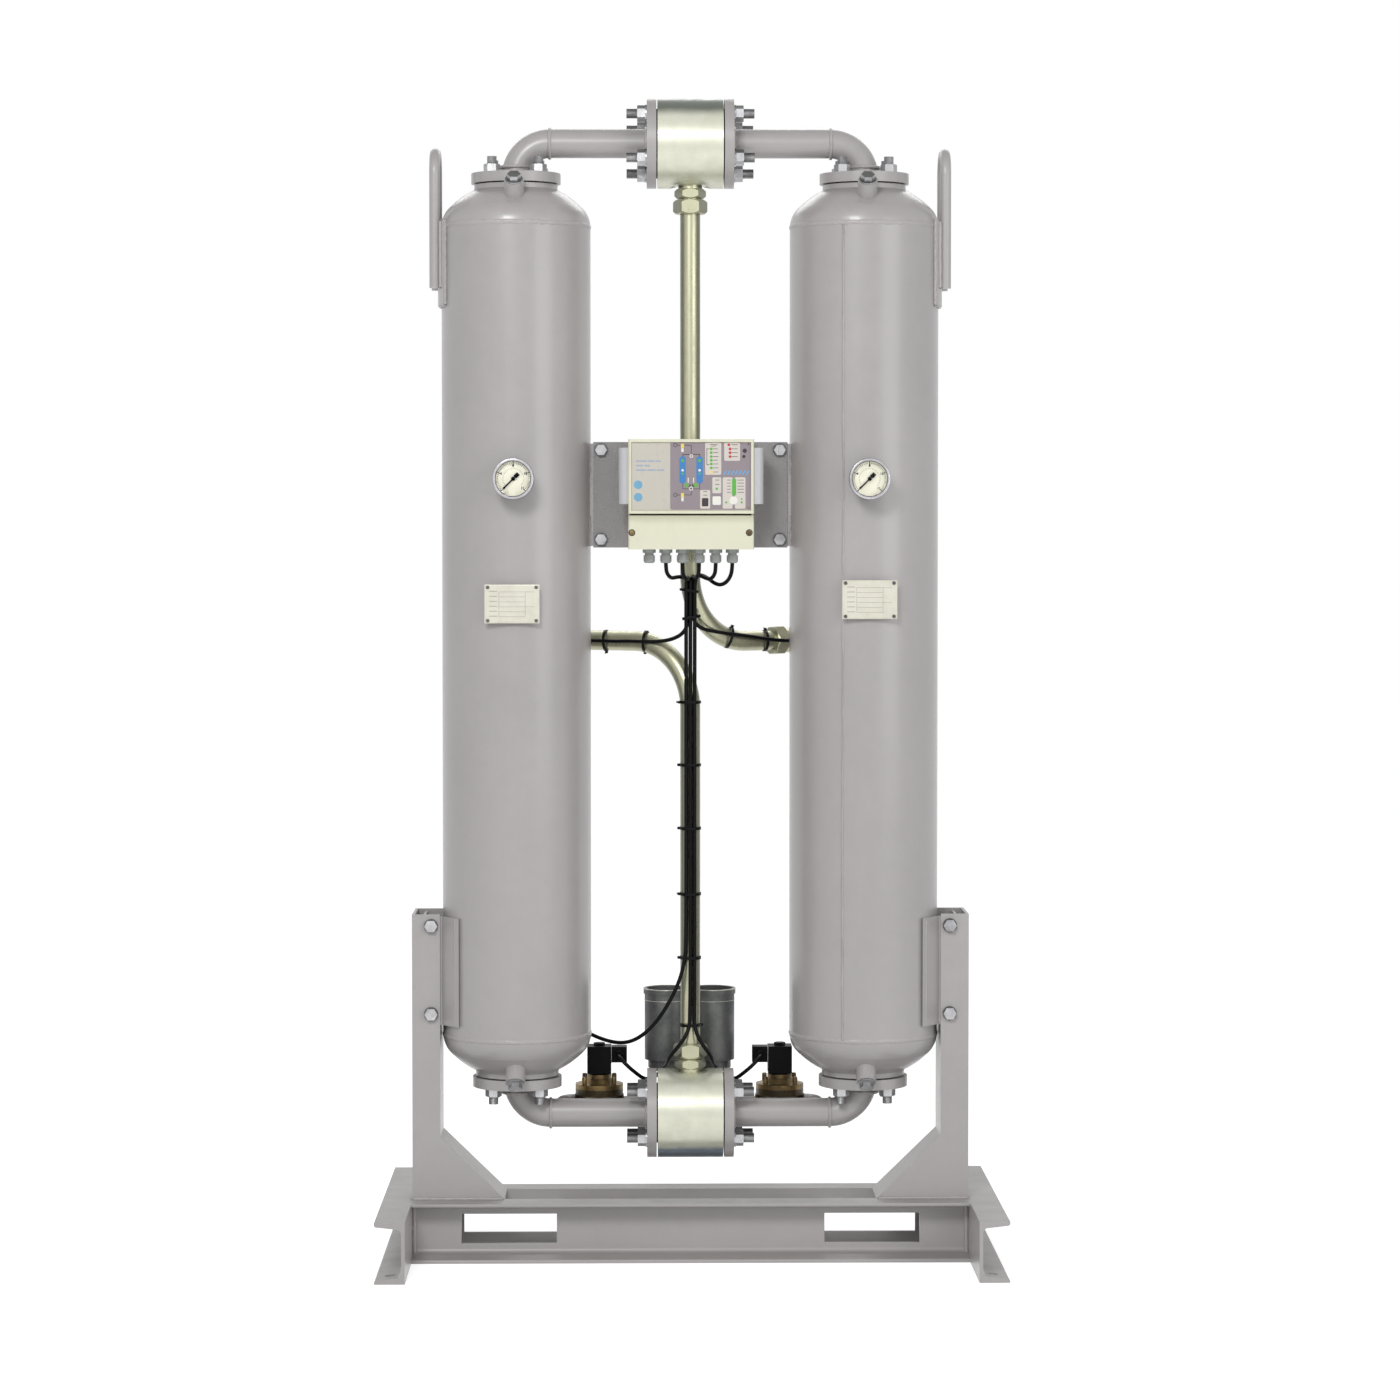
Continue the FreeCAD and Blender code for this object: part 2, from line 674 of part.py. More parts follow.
def spool(label, side, seat, up, level):
    # Vessel flange, elbow, straight pipe and block flange, welded into one piece.
    x = side * s.vessel_x
    turn_z = level - up * s.elbow_bend
    face = seat + up * s.gasket_thick
    foot = face if up > 0 else face - s.flange_thick
    across = Vector(side, 0, 0)
    rise = Vector(0, 0, up)
    along = RIGHT if side > 0 else LEFT
    reach = elbow_x - flange_seat - 4

    def run(radius, spare):
        low = face - spare if up > 0 else turn_z
        tall = up * (turn_z - face) + spare
        return [cylinder(radius, tall, x, 0, low),
                quarter(s.elbow_bend, radius, side * elbow_x, 0, turn_z, across, rise),
                cylinder(radius, elbow_x - flange_seat + spare,
                         side * (flange_seat - spare), 0, level, along)]

    solids = [
        cylinder(s.flange_round, s.flange_thick, x, 0, foot),
        cylinder(s.pipe_round, up * (turn_z - face) - 4,
                 x, 0, face + 4 if up > 0 else turn_z),
        quarter(s.elbow_bend, s.pipe_round, side * elbow_x, 0, turn_z, across, rise),
        cylinder(s.pipe_round, reach, side * (flange_seat + 4), 0, level, along),
        cylinder(s.flange_round, s.block_flange_thick, side * flange_seat, 0, level, along),
    ]
    tools = run(s.pipe_round - s.pipe_wall, 5)
    for sx, sy in stud_spots(side):
        tools.append(cylinder(s.bolt_hole, s.flange_thick + 10, sx, sy, foot - 5))
    turn = s.top_turn if up > 0 else s.low_turn
    for y, z in block_spots(turn, level):
        tools.append(cylinder(s.bolt_hole, s.block_flange_thick + 10,
                              side * (flange_seat - 5), y, z, along))
    if up < 0:
        solids.append(cylinder(s.purge_pipe, purge_reach, side * purge_corner, 18, level, BACK))
        tools.append(cylinder(s.purge_pipe - s.purge_pipe_wall, purge_reach + 5,
                              side * purge_corner, 18, level, BACK))
    finish(cut(joined(solids), tools), label)


def block_spots(turn, level):
    # Four places on the bolt circle of a valve block, seen along X.
    for k in range(4):
        angle = turn + 90 * k
        yield s.bolt_circle * cosine(angle), level + s.bolt_circle * sine(angle)


purge_corner = s.purge_x + s.purge_half + s.purge_elbow
purge_reach = s.purge_y - s.purge_elbow - 18


def flange_seals():
    # Flat rings between each pair of flanges.
    ring = cut(cylinder(s.gasket_round, s.gasket_thick),
               [cylinder(s.neck_bore, s.gasket_thick + 10, 0, 0, -5)])
    wide = cut(cylinder(s.gasket_round, s.gasket_thick),
               [cylinder(s.chamber_round - 5, s.gasket_thick + 10, 0, 0, -5)])
    things = []
    for side in (-1, 1):
        x = side * s.vessel_x
        things.append(copied(ring, x, 0, seat_top))
        things.append(copied(ring, x, 0, seat_low, DOWN))
        along = RIGHT if side > 0 else LEFT
        for level in (s.top_pipe_z, s.low_pipe_z):
            things.append(copied(wide, side * s.block_half, 0, level, along))
    finish(group(things), "flange_gaskets")


def nut_shape():
    # Hexagon nut with its corners chamfered by a cone.
    flats = s.nut_flats
    tall = s.nut_tall
    shape = common([hexagon(flats, tall),
                    cone(flats / 2 + tall * 1.1, flats * 0.49, tall * 1.1)])
    return cut(shape, [cylinder(s.stud_round, tall + 20, 0, 0, -10)])


def flange_fasteners():
    length = s.stud_seat + s.gasket_thick + s.flange_thick + s.stud_over
    stud = cylinder(s.stud_round, length, 0, 0, -s.stud_seat)
    nut = nut_shape()
    nut_foot = s.gasket_thick + s.flange_thick
    studs = []
    nuts = []
    for side in (-1, 1):
        for sx, sy in stud_spots(side):
            studs.append(copied(stud, sx, sy, seat_top))
            studs.append(copied(stud, sx, sy, seat_low, DOWN))
            nuts.append(copied(nut, sx, sy, seat_top + nut_foot))
            nuts.append(copied(nut, sx, sy, seat_low - nut_foot, DOWN))
    finish(group(studs), "flange_studs")
    finish(group(nuts), "flange_nuts")


# Shuttle valve blocks


def block(label, level, up, turn):
    # Turned block with a cross bore, a port and a spot face towards the tube.
    body = cylinder(s.flange_round, s.block_half * 2, -s.block_half, 0, level, RIGHT)
    flat = level + up * (s.flange_round - s.spot_deep)
    foot = flat if up > 0 else flat - 20
    tools = [cylinder(s.chamber_round, s.block_half * 2 + 10, -5 - s.block_half, 0, level,
                      RIGHT),
             cylinder(s.spot_round, 20, 0, 0, foot),
             cylinder(s.port_bore, s.flange_round, 0, 0, level, UP if up > 0 else DOWN)]
    for y, z in block_spots(turn, level):
        tools.append(cylinder(s.bolt_hole, s.block_half * 2 + 10, -5 - s.block_half, y, z,
                              RIGHT))
    finish(cut(body, tools), label)


def block_fasteners():
    half = flange_seat + s.block_flange_thick + s.rod_over
    rod = cylinder(s.stud_round, half * 2, 0, 0, -half)
    nut = nut_shape()
    washer = cut(cylinder(s.washer_round, s.washer_thick),
                 [cylinder(s.stud_round, 20, 0, 0, -10)])
    face = flange_seat + s.block_flange_thick
    rods = []
    nuts = []
    for level, turn in ((s.top_pipe_z, s.top_turn), (s.low_pipe_z, s.low_turn)):
        for y, z in block_spots(turn, level):
            rods.append(copied(rod, 0, y, z, RIGHT))
            for side, along in ((-1, LEFT), (1, RIGHT)):
                nuts.append(copied(washer, side * face, y, z, along))
                nuts.append(copied(nut, side * (face + s.washer_thick), y, z, along))
    finish(group(rods), "tie_rods")
    finish(group(nuts), "tie_rod_nuts")


def shuttle_balls():
    # Loose ball of each shuttle valve, lying on the floor of its bore.
    things = []
    drop = s.chamber_round - s.ball_round - 0.3
    for level in (s.top_pipe_z, s.low_pipe_z):
        ball = doc.addObject("Part::Sphere", "ball")
        bind(ball, "Radius", s.ball_round)
        things.append(put(ball, s.ball_x, 0, level - drop))
    finish(group(things), "shuttle_balls")


# Tube connectors and tubes

top_flat = s.top_pipe_z - s.flange_round + s.spot_deep
low_flat = s.low_pipe_z + s.flange_round - s.spot_deep
hex_foot = s.adaptor_collar_tall
nut_foot = hex_foot + s.adaptor_tall + s.nut_gap
tube_start = nut_foot + 4


def chamfered(flats, foot, tall):
    # Hexagon with both ends chamfered by a turned barrel.
    wide = flats * 0.6
    edge = flats * 0.49
    barrel = turned([(0, foot), (edge, foot), (wide, foot + (wide - edge)),
                     (wide, foot + tall - (wide - edge)), (edge, foot + tall),
                     (0, foot + tall)])
    return common([hexagon(flats, tall, 0, 0, foot), barrel])


def tube_joints():
    bore = s.tube_round - s.tube_wall
    thread = cylinder(s.port_bore, 16, 0, 0, -16)
    collar = cylinder(s.adaptor_collar, s.adaptor_collar_tall)
    nose = cylinder(s.adaptor_nose, s.nut_gap + 4, 0, 0, hex_foot + s.adaptor_tall)
    adaptor = cut(joined([thread, collar, chamfered(s.adaptor_flats, hex_foot, s.adaptor_tall),
                          nose]), [cylinder(bore, 80, 0, 0, -30)])
    nut = cut(chamfered(s.union_flats, nut_foot, s.union_tall),
              [cylinder(s.adaptor_nose, 4, 0, 0, nut_foot),
               cylinder(s.tube_round, 60, 0, 0, nut_foot + 4)])
    ends = ((low_flat, UP), (top_flat, DOWN))
    finish(group([copied(adaptor, 0, 0, z, turn) for z, turn in ends]), "tube_adaptors")
    finish(group([copied(nut, 0, 0, z, turn) for z, turn in ends]), "union_nuts")


def lean_way(side):
    lean = math.radians(s.tube_lean.amount)
    return Vector(side * math.cos(lean), math.sin(lean), 0)


def bent_tube(label, side, start, up, reach):
    # Upright leg, bend and level leg that leans back behind the vessel.
    way = lean_way(side)
    across = side * cosine(s.tube_lean)
    back = sine(s.tube_lean)
    bend_z = s.tube_level - up * s.tube_bend
    level = Rotation(Vector(0, 0, 1), way)

    def run(radius, spare):
        low = start - spare if up > 0 else bend_z
        tall = up * (bend_z - start) + spare
        return joined([
            cylinder(radius, tall, 0, 0, low),
            quarter(s.tube_bend, radius, s.tube_bend * across, s.tube_bend * back, bend_z,
                    way * -1, Vector(0, 0, up)),
            cylinder(radius, reach - s.tube_bend + spare, s.tube_bend * across,
                     s.tube_bend * back, s.tube_level, level)])

    outer = run(s.tube_round, Size(0, "0"))
    inner = run(s.tube_round - s.tube_wall, Size(5, "5"))
    finish(cut(outer, [inner]), label)


def end_fitting(side, reach):
    # Nut and female socket on the level leg's end, with a sensor pocket on top.
    along = Rotation(Vector(0, 0, 1), lean_way(side))
    nut_start = -18
    body_start = s.end_nut_long + nut_start
    solids = joined([
        chamfered(s.end_nut_flats, Size(nut_start, "(%d)" % nut_start), s.end_nut_long),
        cylinder(s.socket_round, s.socket_long, 0, 0, body_start)])
    sleeve = cut(solids, [
        cylinder(s.tube_round, 40, 0, 0, -40),
        cylinder(s.tube_round - s.tube_wall, 80, 0, 0, -10),
        cylinder(s.port_thread, s.port_deep + 20, 0, 0,
                 body_start + s.socket_long - s.port_deep)])
    x = reach * cosine(s.tube_lean) * side
    y = reach * sine(s.tube_lean)
    return copied(sleeve, x, y, s.tube_level, along)


def end_fittings():
    finish(group([end_fitting(1, s.outlet_reach), end_fitting(-1, s.inlet_reach)]),
           "end_fittings")


# Controller


def plate_points():
    for side in (-1, 1):
        for end in (-1, 1):
            yield side * s.plate_bolt_x, s.plate_z + end * s.plate_bolt_z


def panel_plate():
    body = new_body("panel_plate")
    half = s.plate_long / 2
    low = s.plate_z - s.plate_tall / 2
    high = s.plate_z + s.plate_tall / 2
    pad_both(body, "XZ_Plane", [(-half, low), (half, low), (half, high), (-half, high)],
             s.plate_thick)
    holes = sketch_on(body, "XZ_Plane")
    for x, z in plate_points():
        draw_circle(holes, x, z, s.plate_bolt / 2 + 0.5)
    pocket_both(body, holes, s.plate_thick * 3)
    bind(body, "Placement.Base.y", s.plate_thick / 2 - s.plate_front)
    washer = cylinder(s.plate_washer, s.plate_washer_thick)
    shank = cylinder(s.plate_bolt / 2, s.plate_bolt_grip, 0, 0, -s.plate_bolt_grip)
    head = hexagon(s.plate_bolt_flats, s.plate_bolt_head, 0, 0, s.plate_washer_thick)
    bolt = joined([washer, shank, head])
    bolts = [copied(bolt, x, -s.plate_front, z, FRONT) for x, z in plate_points()]
    finish(group(bolts), "panel_bolts")


box_front = s.plate_front + s.box_deep


def box_shell(wide, deep, low, high, back, wall, front_open):
    # Moulded tray: rounded upright corners, hollow, open at the front or the back.
    half = wide / 2
    r = s.box_round
    front = back + deep

    def outline(inset, near, far):
        a = half - inset
        return [(-a, -near), (a, -near), (a, -(far - r)), (a - r, -far, r, -1),
                (r - a, -far), (-a, -(far - r), r, -1)]

    outer = extruded(outline(0, back, front), low, high - low)
    slack = 5 if front_open else 0
    inside = slab(wide - wall * 2, deep - wall + slack, high - low - wall * 2,
                  wall - half, -front - slack if front_open else -(front - wall),
                  low + wall)
    return cut(outer, [inside])


def gland_places():
    for k in range(6):
        yield (k - 2.5) * s.gland_pitch


def controller():
    housing = box_shell(s.box_wide, s.box_deep, s.box_low, s.box_top, s.plate_front,
                        s.box_wall, True)
    holes = [cylinder(s.gland_neck, 20, x, -s.gland_y, s.box_low - 10)
             for x in gland_places()]
    finish(cut(housing, holes), "controller_housing")
    lid = box_shell(s.box_wide, s.lid_deep, s.lid_low, s.box_top, box_front, s.box_wall,
                    False)
    frame = s.lid_frame
    front = box_front + s.lid_deep
    recess = slab(s.box_wide - frame * 2, s.lid_recess, s.box_top - s.lid_low - frame * 2,
                  frame - s.box_wide / 2, -front, s.lid_low + frame)
    floor = slab(s.box_wide - s.box_wall * 2, s.box_wall, s.box_top - s.lid_low - 6,
                 s.box_wall - s.box_wide / 2, s.lid_recess - front, s.lid_low + 3)
    finish(joined([cut(lid, [recess]), floor]), "controller_lid")
    gap = 0.3
    panel = slab(s.box_wide - (frame + gap) * 2, s.panel_thick,
                 s.box_top - s.lid_low - (frame + gap) * 2, frame + gap - s.box_wide / 2,
                 s.lid_recess - s.panel_thick - front, s.lid_low + frame + gap)
    finish(panel, "control_panel")
    cover = box_shell(s.box_wide, s.cover_deep, s.box_low, s.cover_top, box_front,
                      s.box_wall, False)
    finish(cover, "terminal_cover")
    clips = []
    tall = s.clip_top - s.clip_low
    half = s.box_wide / 2
    near = s.plate_front + s.box_deep - 8
    far = near + s.clip_deep + 8
    r = s.clip_out - 4
    w = s.clip_wall
    out = half + s.clip_out
    for side in (-1, 1):
        clips.append(extruded([
            (half, -near), (half, w - near), (out, w - near), (out, r - far),
            (out - r, -far, r, -1), (half, -far), (half, w - far), (out - r, w - far),
            (out - w, r - far, r - w, 1), (out - w, -near),
        ], s.clip_low, tall, side))
    finish(group(clips), "side_clips")


def cable_glands():
    neck = s.gland_hex_tall + s.gland_neck_tall
    lower = neck + s.gland_nut_tall
    bore = s.cable_round + 0.1
    shank = s.box_wall + 4
    gland = cut(joined([
        cylinder(s.gland_neck, shank + neck + 4, 0, 0, -shank),
        hexagon(s.gland_flats, s.gland_hex_tall)]),
        [cylinder(bore, 60, 0, 0, -20)])
    top = s.gland_flats / 2
    nut = turned([(s.gland_neck, neck), (top, neck), (top, lower - 4),
                  (top - 3, lower, 4.5, 1), (bore, lower), (bore, neck + 4),
                  (s.gland_neck, neck + 4)])
    blank = cylinder(bore, 20, 0, 0, lower - 21)
    glands = [copied(gland, x, -s.gland_y, s.box_low, DOWN) for x in gland_places()]
    caps = [copied(nut, x, -s.gland_y, s.box_low, DOWN) for x in gland_places()]
    spare = (0 - 2.5) * s.gland_pitch
    caps.append(copied(blank, spare, -s.gland_y, s.box_low, DOWN))
    finish(group(glands + caps), "cable_glands")


# Gauges


def gauges():
    deep = s.case_deep
    face = deep - s.case_bore_deep
    case = turned([
        (0, 0), (s.case_round - 3, 0), (s.case_round, 3, 3, 1),
        (s.case_round, deep - s.bezel_deep), (s.bezel_round, deep - s.bezel_deep),
        (s.bezel_round, deep - 2), (s.bezel_round - 2, deep, 2, 1),
        (s.case_bore, deep), (s.case_bore, face), (0, face)])
    stem_long = s.case_back - s.vessel_round - s.gauge_socket_long
    stem = hexagon(s.stem_flats, stem_long + 1, 0, 0, -stem_long)
    whole = joined([case, stem])
    dial = cut(cylinder(s.case_bore - 0.3, s.dial_thick, 0, 0, face),
               [cylinder(1.2, 10, 0, 0, face - 5)])
    window = cylinder(s.case_bore - 0.1, s.window_thick, 0, 0,
                      deep - s.window_inset - s.window_thick)
    places = [(side * s.vessel_x, -s.case_back, s.gauge_z, FRONT) for side in (-1, 1)]
    finish(group([copied(whole, *p) for p in places]), "gauge_cases")
    finish(group([copied(dial, *p) for p in places]), "gauge_dials")
    finish(group([copied(window, *p) for p in places]), "gauge_windows")
    base = face + s.dial_thick + s.hub_gap
    hub = cylinder(s.hub_round, s.hub_long, 0, 0, base)
    half = s.pointer_wide / 2
    needle = extruded([
        (-half, 0), (-0.35, -s.pointer_long), (0.35, -s.pointer_long), (half, 0),
        (half * 2.2, s.pointer_tail), (-half * 2.2, s.pointer_tail)],
        base + s.hub_gap, s.pointer_thick)
    pointer = joined([hub, needle])
    spin = Rotation(Vector(0, 0, 1), -45)
    for label, side in (("pointer_left", -1), ("pointer_right", 1)):
        finish(group([copied(pointer, side * s.vessel_x, -s.case_back, s.gauge_z,
                             FRONT * spin)]), label)


# Purge valves and silencers


def purge_valves():
    disc = s.purge_disc
    joint = s.purge_joint_z
    thick = s.purge_disc_thick
    bodies = []
    bonnets = []
    coils = []
    plugs = []
    for side in (-1, 1):
        x = side * s.purge_x
        bowl = turned([
            (0, s.purge_foot_z), (s.purge_barrel - 4, s.purge_foot_z),
            (s.purge_skirt, joint - thick * 3), (disc, joint - thick * 1.4), (disc, joint),
            (0, joint)], x, s.purge_y)
        barrel = cylinder(s.purge_barrel, s.purge_half * 2, x - s.purge_half, s.purge_y,
                          s.low_pipe_z, RIGHT)
        boss = cylinder(6, disc - 2, x, s.purge_y, joint - thick * 2, FRONT)
        bore = cylinder(s.purge_pipe - s.purge_pipe_wall, s.purge_half * 2 + 10,
                        x - s.purge_half - 5, s.purge_y, s.low_pipe_z, RIGHT)
        bodies.append(cut(joined([bowl, barrel, boss]), [bore]))
        bonnets.append(turned([
            (0, joint), (disc, joint), (disc, joint + thick), (s.bonnet_cone, joint + thick + 2),
            (s.bonnet_round, s.bonnet_z - 6), (s.bonnet_round, s.bonnet_z), (0, s.bonnet_z)],
            x, s.purge_y))
        wide = s.coil_wide
        coil = joined([
            slab(wide, wide, s.coil_top - s.coil_low, x - wide / 2, s.purge_y - wide / 2,
                 s.coil_low),
            cylinder(s.coil_seat, s.coil_low - s.bonnet_z, x, s.purge_y, s.bonnet_z),
            hexagon(s.coil_nut_flats, s.coil_nut_tall, x, s.purge_y, s.coil_top)])
        coils.append(coil)
        plug = s.coil_plug_wide
        start = s.purge_x - wide / 2 - plug
        corner = start if side > 0 else -(start + plug)
        low = s.coil_plug_z - s.coil_plug_tall / 2
        shell = slab(plug, plug, s.coil_plug_tall, corner, s.purge_y - plug / 2, low)
        middle = side * (start + plug / 2)
        reach = s.coil_plug_gland_long
        gland = cylinder(s.coil_plug_gland, reach + 1, middle, s.purge_y - plug / 2 + 1,
                         s.coil_plug_z, FRONT)
        plugs.append(joined([shell, gland]))
    finish(group(bodies), "purge_valve_bodies")
    finish(group(bonnets), "purge_valve_bonnets")
    finish(group(coils), "purge_valve_coils")
    finish(group(plugs), "coil_plugs")


def purge_pipes():
    # Elbow from each lower spool to its valve, and bent pipe from the valve to a silencer.
    things = []
    level = s.low_pipe_z
    bore = s.purge_pipe - s.purge_pipe_wall
    for side in (-1, 1):
        across = Vector(side, 0, 0)
        inner_x = side * (purge_corner - s.purge_elbow)
        front_y = s.purge_y - s.purge_elbow
        elbow = quarter(s.purge_elbow, s.purge_elbow_round, inner_x, front_y, level, across,
                        Vector(0, 1, 0))
        hollow = quarter(s.purge_elbow, bore, inner_x, front_y, level, across,
                         Vector(0, 1, 0))
        things.append(cut(elbow, [hollow]))
        bend = s.silencer_bend
        turn_x = side * (s.silencer_x + bend)
        valve_end = s.purge_x - s.purge_half
        along = RIGHT if side > 0 else LEFT

        def run(radius, spare):
            return joined([
                cylinder(radius, valve_end - s.silencer_x - bend + spare, turn_x,
                         s.purge_y, level, along),
                quarter(bend, radius, turn_x, s.purge_y, level + bend, across * -1,
                        Vector(0, 0, -1)),
                cylinder(radius, s.neck_low - level - bend + spare, side * s.silencer_x,
                         s.purge_y, level + bend)])

        things.append(cut(run(s.purge_pipe, 0), [run(bore, 5)]))
    finish(group(things), "purge_pipes")


def silencers():
    # Each is a cup: a turned base on the pipe and an open wall with a thick rim.
    w = s.silencer_wall
    r = s.silencer_round
    bore = s.purge_pipe - s.purge_pipe_wall
    floor = s.silencer_low + w
    rim = s.silencer_top - s.silencer_rim_tall
    base = turned([
        (bore, s.neck_low), (s.silencer_neck - s.silencer_chamfer, s.neck_low),
        (s.silencer_neck, s.neck_low + s.silencer_chamfer), (s.silencer_neck, s.silencer_low),
        (r, s.silencer_low), (r, floor), (bore, floor)])
    wall = turned([
        (r - w, floor), (r, floor), (r, rim), (s.silencer_rim, rim),
        (s.silencer_rim, s.silencer_top), (r - w, s.silencer_top)])
    places = [(side * s.silencer_x, s.purge_y) for side in (-1, 1)]
    finish(group([copied(base, *p) for p in places]), "silencer_bases")
    finish(group([copied(wall, *p) for p in places]), "silencer_cups")


# Cables, each a run of straight lengths and tangent arcs


def rounded_wire(points):
    # Each corner gets the largest arc that its two runs allow.
    edges = []
    radii = []
    here = points[0]
    for k in range(1, len(points) - 1):
        into = points[k] - points[k - 1]
        out = points[k + 1] - points[k]
        half = into.getAngle(out) / 2
        shorter = min(into.Length, out.Length)
        back = shorter * 0.45
        first = points[k] - into.normalize() * back
        last = points[k] + out.normalize() * back
        edges.append(Part.LineSegment(here, first).toShape())
        radius = back / math.tan(half)
        radii.append(radius)
        bisect = (out - into).normalize()
        middle = points[k] + bisect * (radius / math.cos(half) - radius)
        edges.append(Part.Arc(first, middle, last).toShape())
        here = last
    edges.append(Part.LineSegment(here, points[-1]).toShape())
    return Part.Wire(edges), min(radii)


def cable(label, route):
    # A typed point counts in route units, a vector is a place worked out from sizes.
    unit = s.route_unit.amount
    points = [p if isinstance(p, Vector) else Vector(*p) * unit for p in route]
    path, tightest = rounded_wire(points)
    start = (points[1] - points[0]).normalize()
    ring = Part.Wire([Part.Circle(points[0], start, s.cable_round.amount).toShape()])
    thing = doc.addObject("Part::Feature", label)
    thing.Shape = path.makePipeShell([ring], True, False)
    ideal = math.pi * s.cable_round.amount ** 2 * path.Length
    print("%s: length %.0f mm, tightest bend %.1f mm, volume share %.4f"
          % (label, path.Length, tightest, thing.Shape.Volume / ideal))
    finish(thing, label)


def tube_side(side, along, off, rise=0):
    # Point beside the level leg of a tube: along from the machine's axis, off in front.
    way = lean_way(side)
    front = Vector(way.y * side, -way.x * side, 0)
    spot = way * amount_of(along) + front * amount_of(off)
    return Vector(spot.x, spot.y, s.tube_level.amount + rise)


def gland_start(k):
    # Inside the bore of a gland, where its cable is clamped, and just below it.
    x = (k - 2.5) * s.gland_pitch.amount
    y = -s.gland_y.amount
    drop = amount_of(s.gland_hex_tall + s.gland_neck_tall + s.gland_nut_tall)
    z = s.box_low.amount - drop
    return [Vector(x, y, z + s.gland_grip.amount), Vector(x, y, z - s.gland_drop.amount)]


def plug_lead(side):
    # The last points of a valve's cable, up to the gland of its coil's plug.
    x = side * coil_x.amount
    y = coil_y.amount
    z = s.coil_plug_z.amount
    lead = s.plug_lead.amount
    curve = s.plug_curve.amount
    return [Vector(x - side * curve, y - lead - curve * 2.4, z - curve),
            Vector(x, y - lead, z), Vector(x, y, z)]


outlet_start = s.outlet_reach + 8
outlet_off = s.socket_round + s.strap_gap + s.sensor_round
inlet_start = s.inlet_reach - s.probe_back
inlet_off = s.tube_round + s.strap_gap + s.probe_round
vessel_off = s.vessel_round + s.strap_gap + s.probe_round
coil_x = s.purge_x - s.coil_wide / 2 - s.coil_plug_wide / 2
coil_y = s.purge_y - s.coil_plug_wide / 2 - s.coil_plug_gland_long


def cable_plugs():
    # Strapped-on sensors at the two tubes and behind the left vessel.
    things = []
    for side, along, off, radius in ((1, outlet_start, outlet_off, s.sensor_round),
                                     (-1, inlet_start, inlet_off, s.probe_round)):
        across = side * (cosine(s.tube_lean) * along + sine(s.tube_lean) * off)
        back = sine(s.tube_lean) * along - cosine(s.tube_lean) * off
        things.append(cylinder(radius, s.sensor_long, across, back, s.tube_level,
                               Rotation(Vector(0, 0, 1), lean_way(side))))
    things.append(cylinder(s.probe_round, s.sensor_long, s.sensor_long - s.vessel_x,
                           vessel_off, s.probe_z, LEFT))
    finish(group(things), "cable_plugs")


